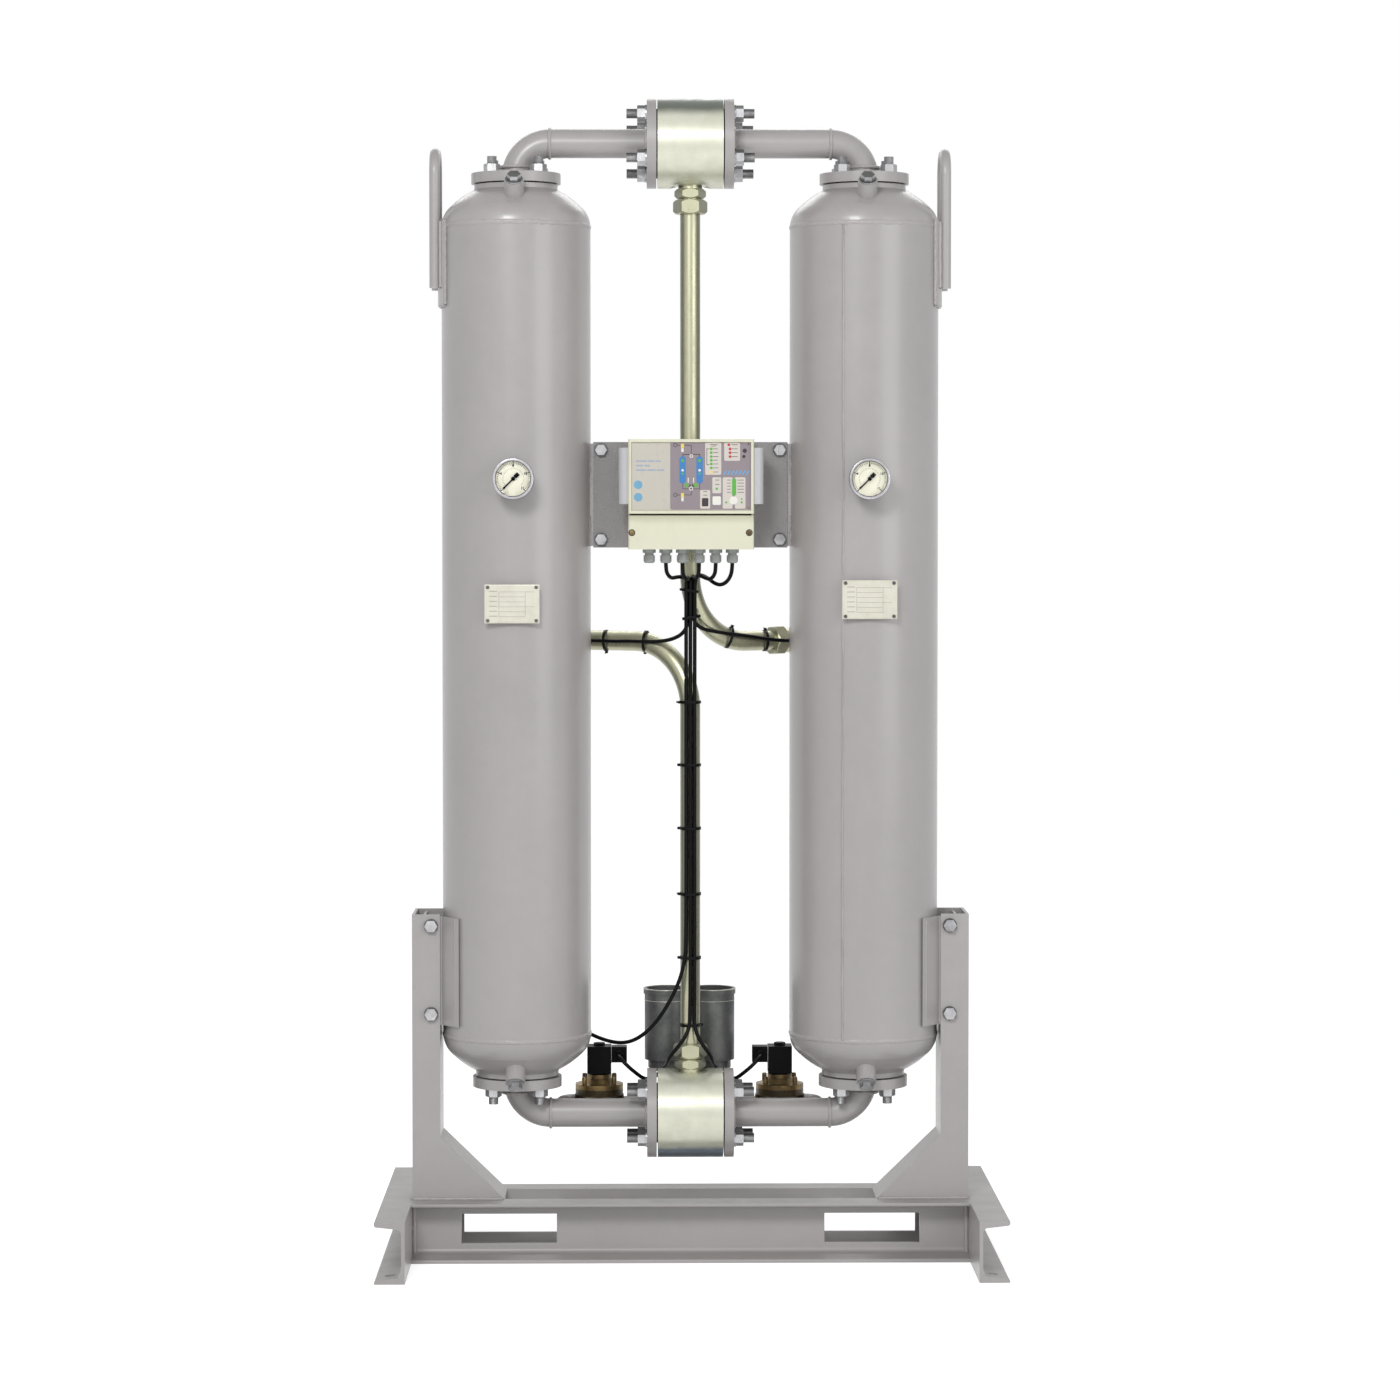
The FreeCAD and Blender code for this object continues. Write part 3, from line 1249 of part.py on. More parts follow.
def cables():
    cable("cable_inlet_sensor", gland_start(1) + [
        (-37.5, -68.5, 1148), (-32, -56, 1143.5), (-25, -42, 1144.8), (-17.3, -31.4, 1145.6),
        (-10.8, -26.2, 1144.2), (-5.8, -22.3, 1138.8), (-3.6, -20.5, 1131),
        (-3.7, -19.6, 1092), (-4, -18.8, 1069), (-10, -13, 1052), (-26, -1, 1041),
        (-50, 13, 1035.5), (-79, 26.5, 1035),
        tube_side(-1, 112, inlet_off, 0.5), tube_side(-1, 138, inlet_off, -0.5),
        tube_side(-1, 170, inlet_off), tube_side(-1, inlet_start, inlet_off)])
    cable("cable_outlet_sensor", gland_start(5) + [
        (64.5, -69, 1142.5), (55, -59, 1133), (43, -49, 1132.5), (27.5, -36.3, 1144.6),
        (18.2, -30.1, 1148.6), (11.3, -25.6, 1147.2), (6, -22.1, 1141.8),
        (3.6, -20.5, 1134), (3.6, -20.6, 1086), (5.5, -20.2, 1073), (12, -16.2, 1063),
        tube_side(1, 14, 20.6, 21.5), tube_side(1, 40, 20.8, 17), tube_side(1, 75, 21, 12.5),
        tube_side(1, 112, 22, 8), tube_side(1, 140, 25, 3.5), tube_side(1, 165, 29.6, 0.8),
        tube_side(1, 181, outlet_off), tube_side(1, outlet_start, outlet_off)])
    cable("cable_vessel_sensor", gland_start(2) + [
        (-12, -70.5, 1147.5), (-8, -62.5, 1142), (-4.5, -53, 1142), (-4.5, -43.5, 1143.7),
        (-5.9, -35.5, 1142.2), (-6.9, -29.4, 1136.8), (-7.2, -26.8, 1129),
        (-7.2, -26, 1040), (-7.2, -19.4, 940), (-7.2, -19.4, 530),
        (-9.5, -20.5, 500), (-17, -22, 468), (-31, -21, 436), (-51, -13, 402),
        (-73, -1, 375), (-96, 14, 358), (-118, 29, 352), (-141, 45, 354),
        (-165, 62, 361), (-190, 83, 371), (-215, 108, 381), (-236, 124, 390),
        Vector(-amount_of(s.vessel_x - s.sensor_long) + s.probe_lead.amount,
               vessel_off.amount, s.probe_z.amount),
        Vector(-amount_of(s.vessel_x - s.sensor_long), vessel_off.amount, s.probe_z.amount)])
    cable("cable_left_valve", gland_start(3) + [
        (12.2, -69.5, 1148), (9.8, -61, 1143.5), (7.2, -52, 1144.5), (4.8, -43.5, 1145.6),
        (2.5, -35.6, 1144.2), (0.8, -29.4, 1138.8), (0, -26.8, 1131),
        (0, -26, 1040), (0, -20.6, 940), (0, -20.6, 470),
        (-3, -22, 430), (-11, -25, 395), (-22, -24, 366), (-33, -13, 344),
        (-38, 6, 326), (-41, 30, 315), (-48, 50, 303), (-57, 60, 292),
        (-66, 65, 286), (-79, 65, 286), (-91, 58.5, 296), (-103, 53.5, 306.6),
        (-113, 54.5, 316.4)] + plug_lead(-1))
    cable("cable_right_valve", gland_start(4) + [
        (38.5, -70.5, 1147), (32, -61.5, 1141.5), (24, -50.3, 1144), (17.3, -40.9, 1147.6),
        (12.6, -34.2, 1146.2), (8.9, -29, 1140.8), (7.2, -26.8, 1133),
        (7.2, -26, 1040), (7.2, -19.4, 940), (7.2, -19.4, 470),
        (10, -21, 430), (17, -24, 395), (27, -22, 366), (35, -12, 344),
        (39, 6, 326), (42, 30, 315), (49, 50, 303), (58, 60, 292),
        (67, 65, 286), (79, 65, 286), (91, 58.5, 296), (103, 53.5, 306.6),
        (113, 54.5, 316.4)] + plug_lead(1))


# Build

side_channel("side_channel_left", -1)
side_channel("side_channel_right", 1)
cross_beam("front_beam", -1)
cross_beam("rear_beam", 1)
post("post_left", -1)
post("post_right", 1)
bracket("bracket_left", -1)
bracket("bracket_right", 1)
post_bolts()
vessel("vessel_left", -1)
vessel("vessel_right", 1)
panel_lugs()
vessel_filling()
dome_plugs()
lifting_lug("lifting_lug_left", -1)
lifting_lug("lifting_lug_right", 1)
spool("top_spool_left", -1, seat_top, 1, s.top_pipe_z)
spool("top_spool_right", 1, seat_top, 1, s.top_pipe_z)
spool("lower_spool_left", -1, seat_low, -1, s.low_pipe_z)
spool("lower_spool_right", 1, seat_low, -1, s.low_pipe_z)
flange_seals()
flange_fasteners()
block("upper_valve_block", s.top_pipe_z, -1, s.top_turn)
block("lower_valve_block", s.low_pipe_z, 1, s.low_turn)
block_fasteners()
shuttle_balls()
tube_joints()
bent_tube("outlet_tube", 1, top_flat - tube_start, -1, s.outlet_reach)
bent_tube("inlet_tube", -1, low_flat + tube_start, 1, s.inlet_reach)
end_fittings()
panel_plate()
controller()
cable_glands()
gauges()
purge_valves()
purge_pipes()
silencers()
cable_plugs()
cables()

doc.recompute()

# Check every object, then write each piece

for thing in doc.Objects:
    if "Invalid" in thing.State or "Error" in thing.State:
        raise RuntimeError("object %s (%s) failed" % (thing.Name, thing.Label))
for node in nodes:
    shape = node.Shape
    if shape.isNull() or not shape.isValid() or not shape.Solids:
        raise RuntimeError("piece %s has no valid solid" % node.Label)
    box = shape.BoundBox
    print("%-22s solids %2d faces %4d  x %.1f %.1f  y %.1f %.1f  z %.1f %.1f"
          % (node.Label, len(shape.Solids), len(shape.Faces), box.XMin, box.XMax, box.YMin,
             box.YMax, box.ZMin, box.ZMax))
    shape.exportStep("parts/%s.step" % node.Label)
print("pieces", len(nodes))
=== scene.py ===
import bpy
from math import cos, pi, radians, sin, sqrt
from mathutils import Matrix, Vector


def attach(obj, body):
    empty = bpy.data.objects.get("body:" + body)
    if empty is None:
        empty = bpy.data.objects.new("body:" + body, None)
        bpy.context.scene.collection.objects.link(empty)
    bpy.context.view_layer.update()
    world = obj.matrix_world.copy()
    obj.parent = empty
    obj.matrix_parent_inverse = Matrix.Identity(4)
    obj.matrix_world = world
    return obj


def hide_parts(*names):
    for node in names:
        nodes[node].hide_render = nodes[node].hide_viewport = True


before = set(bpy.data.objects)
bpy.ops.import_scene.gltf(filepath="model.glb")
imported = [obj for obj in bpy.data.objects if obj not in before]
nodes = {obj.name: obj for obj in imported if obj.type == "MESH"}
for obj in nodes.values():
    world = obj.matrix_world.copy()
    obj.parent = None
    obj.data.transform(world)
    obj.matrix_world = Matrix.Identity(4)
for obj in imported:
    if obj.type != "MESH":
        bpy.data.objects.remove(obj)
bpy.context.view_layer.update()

scene = bpy.context.scene
print("packed model loaded")

mm = 0.001  # sizes below are in millimetres
frontward = (radians(90), 0, 0)  # stands a flat primitive up to face the front


def metres(place):
    return [length * mm for length in place]


def linear(r, g, b):
    # Written colour, 0 to 255, as the linear colour that a shader takes.
    out = []
    for part in (r, g, b):
        part = part / 255
        out.append(part / 12.92 if part <= 0.04045 else ((part + 0.055) / 1.055) ** 2.4)
    return (out[0], out[1], out[2], 1.0)


def feed(tree, node, inputs):
    # An input given a number or colour holds it; any other is linked.
    for label, value in inputs.items():
        if isinstance(value, (int, float, tuple)):
            node.inputs[label].default_value = value
        else:
            tree.links.new(value, node.inputs[label])
    return node


def addNode(tree, kind, inputs=None, **settings):
    node = tree.nodes.new("ShaderNode" + kind)
    for label, value in settings.items():
        setattr(node, label, value)
    return feed(tree, node, inputs or {})


def newGroup(name, inputs, outputs=(("Colour", "Color"), ("Roughness", "Float"),
                                    ("Height", "Float"))):
    # A node group from the defaults of its inputs, None for a vector.
    group = bpy.data.node_groups.new(name, "ShaderNodeTree")
    kinds = {tuple: "Color", float: "Float", type(None): "Vector"}
    for label, value in inputs.items():
        socket = group.interface.new_socket(
            label, in_out="INPUT", socket_type="NodeSocket" + kinds[type(value)])
        if value is not None:
            socket.default_value = value
    for label, kind in outputs:
        group.interface.new_socket(label, in_out="OUTPUT", socket_type="NodeSocket" + kind)
    return group, group.nodes.new("NodeGroupInput").outputs, group.nodes.new("NodeGroupOutput")


def noise(tree, vector, scale, detail=2.0, rough=0.5, stretch=None):
    if stretch:
        vector = addNode(tree, "Mapping", {"Scale": stretch, "Vector": vector}).outputs["Vector"]
    return addNode(tree, "TexNoise", {"Vector": vector, "Scale": scale, "Detail": detail,
                                      "Roughness": rough}).outputs["Fac"]


def span(tree, value, low, high, toLow=0.0, toHigh=1.0, smooth=False):
    return addNode(tree, "MapRange", {
        "Value": value, "From Min": low, "From Max": high, "To Min": toLow, "To Max": toHigh},
        interpolation_type="SMOOTHSTEP" if smooth else "LINEAR").outputs["Result"]


def calc(tree, kind, a, b=0.0):
    return addNode(tree, "Math", {0: a, 1: b}, operation=kind).outputs[0]


def blendColour(tree, factor, a, b, kind="MIX"):
    # Sockets 0, 6 and 7 of a mix node are its factor and its two colours.
    return addNode(tree, "Mix", {0: factor, 6: a, 7: b}, data_type="RGBA",
                   blend_type=kind).outputs[2]


def objectPlace(tree):
    return addNode(tree, "TexCoord").outputs["Object"]


def alongAxis(tree, vector, letter):
    return addNode(tree, "SeparateXYZ", {"Vector": vector}).outputs[letter]


def facing(tree, letter):
    # How far the surface faces along an axis of the machine.
    return alongAxis(tree, addNode(tree, "NewGeometry").outputs["Normal"], letter)


def makePaintFinish():
    # Sprayed gloss paint: cloudy tone, orange peel, pale chips, and dust on upward faces that also
    # paints shade on them.
    group, enter, leave = newGroup("paintFinish", {
        "Vector": None, "Colour": (0.4, 0.4, 0.4, 1), "Chip Colour": (0.7, 0.7, 0.7, 1),
        "Chips": 0.3, "Dust And Shade": 0.3, "Peel": 1.0})
    vector = enter["Vector"]
    cloud = noise(group, vector, 5.0, 3.0)
    mottled = noise(group, vector, 46.0, 4.0, 0.6)
    tone = calc(group, "ADD", span(group, cloud, 0.3, 0.7, -0.035, 0.035),
                span(group, mottled, 0.3, 0.7, -0.02, 0.02))
    shade = addNode(group, "HueSaturation", {"Value": calc(group, "ADD", tone, 1.0),
                                             "Color": enter["Colour"]})
    spots = noise(group, vector, 170.0, 5.0, 0.65)
    zones = span(group, noise(group, vector, 11.0, 3.0), 0.3, 0.75, -0.12, 0.08)
    edge = span(group, enter["Chips"], 0.0, 1.0, 0.80, 0.63)
    mask = span(group, calc(group, "ADD", spots, zones), edge, calc(group, "ADD", edge, 0.02))
    chipped = blendColour(group, mask, shade.outputs["Color"], enter["Chip Colour"])
    # Dust on upward faces, its colour darker than the paint so that it also paints shade on those
    # faces.
    up = span(group, facing(group, "Z"), 0.2, 0.95)
    dustShadeMask = calc(group, "MULTIPLY", calc(group, "MULTIPLY", up, enter["Dust And Shade"]),
                 span(group, noise(group, vector, 24.0, 4.0), 0.3, 0.7, 0.75, 1.0))
    peel = calc(group, "MULTIPLY", noise(group, vector, 520.0, 1.0), enter["Peel"])
    feed(group, leave, {
        "Colour": blendColour(group, dustShadeMask, chipped, linear(126, 123, 118)),
        "Roughness": calc(group, "ADD", span(group, mottled, 0.25, 0.75, 0.30, 0.40),
                          calc(group, "MULTIPLY", dustShadeMask, 0.35)),
        "Height": calc(group, "SUBTRACT", peel, calc(group, "MULTIPLY", mask, 0.8))})
    return group


def makeMetalFinish():
    # Plated metal: cloudy stains, fine draw lines, dull patches, and painted shade darkening tops
    # and sides.
    group, enter, leave = newGroup("metalFinish", {
        "Vector": None, "Colour": (0.7, 0.7, 0.7, 1), "Stain Colour": (0.4, 0.38, 0.3, 1),
        "Stain": 0.4, "Shine": 0.25, "Draw Scale": 120.0, "Top Painted Shade": 0.0,
        "Side Painted Shade": 0.0})
    vector, stain = enter["Vector"], enter["Stain Colour"]
    cloud = noise(group, vector, 26.0, 5.0, 0.6)
    speck = noise(group, vector, 240.0, 3.0, 0.6)
    mask = calc(group, "MULTIPLY", span(group, cloud, 0.42, 0.72), enter["Stain"])
    stained = blendColour(group, mask, enter["Colour"], stain)
    fleck = calc(group, "MULTIPLY", span(group, speck, 0.62, 0.72), 0.25)
    flecked = blendColour(group, fleck, stained, stain)
    # Painted shade: faces turned up and faces turned to the sides darken towards the stain colour,
    # standing in for dark reflections.
    topShade = calc(group, "MULTIPLY", span(group, facing(group, "Z"), 0.15, 0.8),
                enter["Top Painted Shade"])
    flank = calc(group, "ABSOLUTE", facing(group, "X"))
    sides = calc(group, "MULTIPLY", span(group, flank, 0.55, 0.98), enter["Side Painted Shade"])
    lines = noise(group, vector, enter["Draw Scale"], 2.0, 0.5, (1.0, 1.0, 0.06))
    uneven = calc(group, "ADD", span(group, cloud, 0.3, 0.7, 0.0, 0.14),
                  span(group, lines, 0.3, 0.7, -0.04, 0.05))
    feed(group, leave, {
        "Colour": blendColour(group, calc(group, "MAXIMUM", topShade, sides), flecked, stain),
        "Roughness": calc(group, "ADD", enter["Shine"], uneven),
        "Height": calc(group, "ADD", calc(group, "MULTIPLY", lines, 0.6), speck)})
    return group


def makeMouldFinish():
    # Moulded plastic: spark-eroded grain, slight yellowing and grime in soft patches.
    group, enter, leave = newGroup("mouldFinish", {
        "Vector": None, "Colour": (0.8, 0.8, 0.7, 1), "Grime": 0.2, "Grain Scale": 900.0,
        "Shine": 0.45})
    vector = enter["Vector"]
    cloud = noise(group, vector, 14.0, 4.0)
    smear = noise(group, vector, 60.0, 4.0, 0.6, (1.0, 1.0, 0.3))
    dark = blendColour(group, 1.0, enter["Colour"], (0.62, 0.58, 0.5, 1), "MULTIPLY")
    patches = calc(group, "MULTIPLY", span(group, cloud, 0.4, 0.75),
                   span(group, smear, 0.35, 0.7))
    mask = calc(group, "MULTIPLY", patches, enter["Grime"])
    feed(group, leave, {
        "Colour": blendColour(group, mask, enter["Colour"], dark),
        "Roughness": calc(group, "ADD", enter["Shine"], span(group, smear, 0.3, 0.7, -0.05, 0.07)),
        "Height": noise(group, vector, enter["Grain Scale"], 1.0)})
    return group


def makeThreadLines():
    # Screw thread seen as close rings along one axis.
    group, enter, leave = newGroup("threadLines", {"Along": 0.0, "Pitch": 0.002},
                                   [("Height", "Float")])
    turns = calc(group, "DIVIDE", enter["Along"], enter["Pitch"])
    feed(group, leave, {"Height": calc(group, "PINGPONG", turns, 0.5)})
    return group


paintFinish = makePaintFinish()
metalFinish = makeMetalFinish()
mouldFinish = makeMouldFinish()
threadLines = makeThreadLines()


def newMaterial(name, group, values, bump, depth, **sockets):
    # A Principled shader fed by one finish group, plus a bump of its height.
    material = bpy.data.materials.new(name)
    material.use_nodes = True
    tree = material.node_tree
    finish = addNode(tree, "Group", {"Vector": objectPlace(tree), **values},
                     node_tree=group).outputs
    relief = addNode(tree, "Bump", {"Strength": bump, "Distance": depth * mm,
                                    "Height": finish["Height"]})
    feed(tree, tree.nodes["Principled BSDF"], {
        "Base Color": finish["Colour"], "Roughness": finish["Roughness"],
        "Normal": relief.outputs["Normal"],
        **{label.replace("_", " "): value for label, value in sockets.items()}})
    return material


def paint(name, colour, chip, chips, dustAndShade, peel, bump, depth=0.4, coat=0.0, coatRough=0.03):
    return newMaterial(name, paintFinish, {
        "Colour": linear(*colour), "Chip Colour": linear(*chip), "Chips": chips, "Dust And Shade": dustAndShade,
        "Peel": peel}, bump, depth, Coat_Weight=coat, Coat_Roughness=coatRough)


# top and side darken upward and sideways faces: painted shade.
def metal(name, colour, stained, stain, shine, draw, bump, metallic, depth=0.4, top=0.0,
          side=0.0):
    return newMaterial(name, metalFinish, {
        "Colour": linear(*colour), "Stain Colour": linear(*stained), "Stain": stain,
        "Shine": shine, "Draw Scale": draw, "Top Painted Shade": top, "Side Painted Shade": side},
        bump, depth, Metallic=metallic)


def mould(name, colour, grime, grain, shine, bump, depth, gloss=0.5):
    return newMaterial(name, mouldFinish, {
        "Colour": linear(*colour), "Grime": grime, "Grain Scale": grain, "Shine": shine},
        bump, depth, Specular_IOR_Level=gloss)


def addBand(material, letter, low, high, colour, wave=1.4, sign=1):
    # A clouded colour band past a level of the machine, over the finish: painted reflection on the
    # valve blocks, painted shadow on the terminal cover, and darker washers under bolt heads.
    tree = material.node_tree
    shader = tree.nodes["Principled BSDF"]
    before = shader.inputs["Base Color"].links[0].from_socket
    place = objectPlace(tree)
    cloud = span(tree, noise(tree, place, 34.0, 4.0), 0.3, 0.7, -wave * mm, wave * mm)
    along = calc(tree, "MULTIPLY", calc(tree, "ABSOLUTE", alongAxis(tree, place, letter)), sign)
    mask = span(tree, calc(tree, "ADD", along, cloud), low * mm, high * mm, 0.0, 0.92, True)
    feed(tree, shader, {"Base Color": blendColour(tree, mask, before, linear(*colour))})


def addThread(material, letter, pitch=2.0, strength=0.8):
    # Lays thread rings over a metal finish.
    tree = material.node_tree
    shader = tree.nodes["Principled BSDF"]
    before = shader.inputs["Normal"].links[0].from_socket
    rings = addNode(tree, "Group", {"Pitch": pitch * mm, "Along": alongAxis(
        tree, objectPlace(tree), letter)}, node_tree=threadLines)
    relief = addNode(tree, "Bump", {
        "Strength": strength, "Distance": pitch * 0.6 * mm, "Height": rings.outputs["Height"],
        "Normal": before})
    feed(tree, shader, {"Normal": relief.outputs["Normal"]})
    return material


paintChip = (206, 204, 202)
framePaint = paint("framePaint", (171, 167, 167), paintChip, chips=0.35, dustAndShade=0.5, peel=1.0,
                   bump=0.1, coat=0.25, coatRough=0.25)
vesselPaint = paint("vesselPaint", (170, 166, 166), paintChip, chips=0.1, dustAndShade=0.4, peel=1.0,
                    bump=0.08, coat=0.35, coatRough=0.18)
weldPaint = paint("weldPaint", (176, 172, 171), (225, 223, 221), chips=0.55, dustAndShade=0.3, peel=2.5,
                  bump=0.5, depth=1.2, coat=0.3, coatRough=0.2)
hammerPaint = paint("hammerPaint", (140, 137, 138), (180, 178, 179), chips=0.7, dustAndShade=0.1,
                    peel=3.0, bump=0.6, depth=0.6)

# Colour, stain's colour and amount, shine, draw scale, bump and metallic of each metal
# top and side paint shade on upward and sideways faces
brightZinc = metal("brightZinc", (190, 191, 193), (62, 62, 62), 0.5, 0.24, 300, 0.2, 0.75,
                   top=0.85)
panelHead, postHead = [
    metal(name, (196, 196, 198), (52, 52, 54), 0.6, 0.24, 300, 0.2, 0.6, top=0.9, side=0.9)
    for name in ("panelHead", "postHead")]
addBand(panelHead, "Y", -25.6, -25.0, (86, 86, 88), 0.1, -1)
addBand(postHead, "Y", -58.2, -57.6, (92, 91, 92), 0.1, -1)
threadZ, threadX = [
    addThread(metal(name, (150, 150, 151), (50, 50, 49), 0.6, 0.3, 300, 0.15, 0.8, top=0.8),
              letter) for name, letter in (("studThread", "Z"), ("rodThread", "X"))]
upperZinc, lowerZinc = [
    metal(name, (212, 213, 196), (166, 168, 152), 0.3, 0.26, 60, 0.03, 0.6)
    for name in ("upperZinc", "lowerZinc")]
# Painted reflection: a dark band along the top of the upper valve block and a blue-grey band along
# the bottom of the lower one.
addBand(upperZinc, "Z", 1910, 1929, (84, 92, 84))
addBand(lowerZinc, "Z", -192, -181, (82, 98, 116), sign=-1)
paleZinc = metal("paleZinc", (196, 195, 188), (140, 140, 134), 0.6, 0.3, 60, 0.1, 0.4)
oliveZinc = metal("oliveZinc", (182, 181, 154), (106, 112, 102), 0.2, 0.24, 60, 0.03, 0.7,
                  side=0.8)
darkBrass = metal("darkBrass", (84, 72, 50), (26, 24, 22), 1.0, 0.34, 90, 0.35, 0.6, depth=0.6)
agedBrass = metal("agedBrass", (142, 119, 78), (34, 30, 24), 1.0, 0.32, 90, 0.35, 0.7, depth=0.6)
castGrey = metal("castGrey", (104, 106, 104), (62, 64, 66), 0.7, 0.42, 60, 0.5, 0.55, depth=0.8)
gaugeSteel = metal("gaugeSteel", (196, 194, 198), (88, 88, 92), 0.5, 0.2, 200, 0.05, 0.85,
                   side=0.3)
plateCream = metal("plateCream", (220, 218, 203), (190, 187, 172), 0.5, 0.36, 90, 0.05, 0.15)

# Colour, grime, grain scale, shine, bump, its depth and the gloss of each plastic
ivoryPlastic, coverPlastic = [mould(name, (223, 222, 199), 0.3, 1200, 0.42, 0.08, 0.2)
                              for name in ("ivoryPlastic", "coverPlastic")]
# Painted shadow: the top of the terminal cover darkens under the lid.
addBand(coverPlastic, "Z", 1231, 1251, (186, 184, 158), 0.4)
clipPlastic = mould("clipPlastic", (192, 192, 196), 0.3, 1200, 0.38, 0.08, 0.2)
glandPlastic = mould("glandPlastic", (172, 177, 176), 0.9, 1400, 0.4, 0.1, 0.2)
panelFilm = mould("panelFilm", (200, 195, 184), 0.15, 2500, 0.3, 0.04, 0.1)
coilPlastic = mould("coilPlastic", (8, 8, 9), 0.6, 1000, 0.42, 0.15, 0.3, 0.08)
cableJacket = mould("cableJacket", (10, 10, 12), 0.5, 1800, 0.4, 0.1, 0.2, 0.12)
sealRubber = mould("sealRubber", (14, 14, 14), 0.4, 800, 0.7, 0.3, 0.3, 0.1)
ballPlastic = mould("ballPlastic", (222, 221, 214), 0.2, 1200, 0.3, 0.05, 0.2)
beadWhite = mould("beadWhite", (236, 233, 224), 0.2, 300, 0.8, 0.9, 2.0)
dialPrint = mould("dialPrint", (238, 234, 214), 0.1, 2500, 0.5, 0.03, 0.1)
pointerBlack = mould("pointerBlack", (12, 12, 12), 0.2, 2500, 0.45, 0.05, 0.1, 0.12)
ruleGrey = mould("ruleGrey", (164, 162, 150), 0.5, 2500, 0.4, 0.03, 0.1)

windowGlass = bpy.data.materials.new("windowGlass")
windowGlass.use_nodes = True
feed(windowGlass.node_tree, windowGlass.node_tree.nodes["Principled BSDF"], {
    "Base Color": (0.97, 0.98, 0.98, 1), "Transmission Weight": 1.0, "Roughness": 0.02,
    "IOR": 1.1, "Metallic": 0.0})
print("materials made")


def bothSides(*names):
    return [name + end for name in names for end in ("_left", "_right")]


nodeFinish = {
    framePaint: ["front_beam", "rear_beam", "panel_lugs", "purge_pipes"] + bothSides(
        "side_channel", "post", "bracket", "lifting_lug", "top_spool", "lower_spool"),
    vesselPaint: bothSides("vessel"),
    brightZinc: ["flow_screens", "dome_plugs", "flange_nuts", "tie_rod_nuts"],
    panelHead: ["panel_bolts"], postHead: ["post_bolts"],
    threadZ: ["flange_studs"], threadX: ["tie_rods"], beadWhite: ["desiccant_beds"],
    sealRubber: ["flange_gaskets"], ballPlastic: ["shuttle_balls"],
    upperZinc: ["upper_valve_block"], lowerZinc: ["lower_valve_block"],
    oliveZinc: ["tube_adaptors", "union_nuts", "outlet_tube", "inlet_tube", "end_fittings"],
    hammerPaint: ["panel_plate"], panelFilm: ["control_panel"],
    ivoryPlastic: ["controller_housing", "controller_lid"], coverPlastic: ["terminal_cover"],
    clipPlastic: ["side_clips"], glandPlastic: ["cable_glands"],
    gaugeSteel: ["gauge_cases"], dialPrint: ["gauge_dials"], windowGlass: ["gauge_windows"],
    pointerBlack: bothSides("pointer"),
    agedBrass: ["purge_valve_bonnets"], darkBrass: ["purge_valve_bodies"],
    coilPlastic: ["purge_valve_coils", "coil_plugs", "cable_plugs"],
    castGrey: ["silencer_bases", "silencer_cups"],
    cableJacket: ["cable_inlet_sensor", "cable_outlet_sensor", "cable_vessel_sensor",
                  "cable_left_valve", "cable_right_valve"],
}
for material, names in nodeFinish.items():
    for name in names:
        mesh = nodes[name].data
        mesh.materials.clear()
        mesh.materials.append(material)
print("finishes on the packed nodes")


def deselectAll():
    if bpy.context.object and bpy.context.object.mode != "OBJECT":
        bpy.ops.object.mode_set(mode="OBJECT")
    bpy.ops.object.select_all(action="DESELECT")


def activate(thing):
    deselectAll()
    thing.select_set(True)
    bpy.context.view_layer.objects.active = thing
    return thing


def openMesh(thing):
    # Edit mode with everything selected.
    activate(thing)
    bpy.ops.object.mode_set(mode="EDIT")
    bpy.ops.mesh.select_all(action="SELECT")


def closeMesh():
    bpy.ops.object.mode_set(mode="OBJECT")


def pickFaces(thing, test):
    # Edit mode with the faces selected whose normal passes the test.
    openMesh(thing)
    bpy.ops.mesh.select_mode(type="FACE")
    bpy.ops.mesh.select_all(action="DESELECT")
    closeMesh()
    for face in thing.data.polygons:
        face.select = bool(test(face.normal))
    bpy.ops.object.mode_set(mode="EDIT")


def insetFaces(thing, test, rim, shift=(0, 0, 0)):
    # Draws a rim inside the picked faces and moves what lies within it.
    pickFaces(thing, test)
    bpy.ops.mesh.inset(thickness=rim * mm)
    if any(shift):
        bpy.ops.transform.translate(value=metres(shift))
    closeMesh()
    return thing


def shaped(thing, kind, **values):
    # Adds a modifier and applies it.
    activate(thing)
    modifier = thing.modifiers.new(kind.lower(), kind)
    for label, value in values.items():
        setattr(modifier, label, value)
    bpy.ops.object.modifier_apply(modifier=modifier.name)
    return thing


def settled(thing):
    # Moves the place, turn and scale into the mesh.
    activate(thing)
    bpy.ops.object.transform_apply(location=True, rotation=True, scale=True)
    return thing


def joined(things):
    activate(things[0])
    for thing in things:
        thing.select_set(True)
    if len(things) > 1:
        bpy.ops.object.join()
    return bpy.context.view_layer.objects.active


def dress(things, name, material, body="dryer", angle=35):
    # Joins parts into one finished piece.
    thing = settled(joined(things))
    bpy.ops.object.shade_smooth_by_angle(angle=radians(angle))
    thing.name = thing.data.name = name
    thing.data.materials.clear()
    thing.data.materials.append(material)
    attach(thing, body)


def slab(size, place, bevel=0.0, segments=2, turn=(0, 0, 0)):
    # A block with worked edges, sizes and place in millimetres.
    deselectAll()
    bpy.ops.mesh.primitive_cube_add(size=1, location=metres(place), rotation=turn)
    block = bpy.context.object
    openMesh(block)
    bpy.ops.transform.resize(value=metres(size), orient_type="LOCAL")
    if bevel:
        bpy.ops.mesh.bevel(offset=bevel * mm, segments=segments, affect="EDGES")
    closeMesh()
    return block


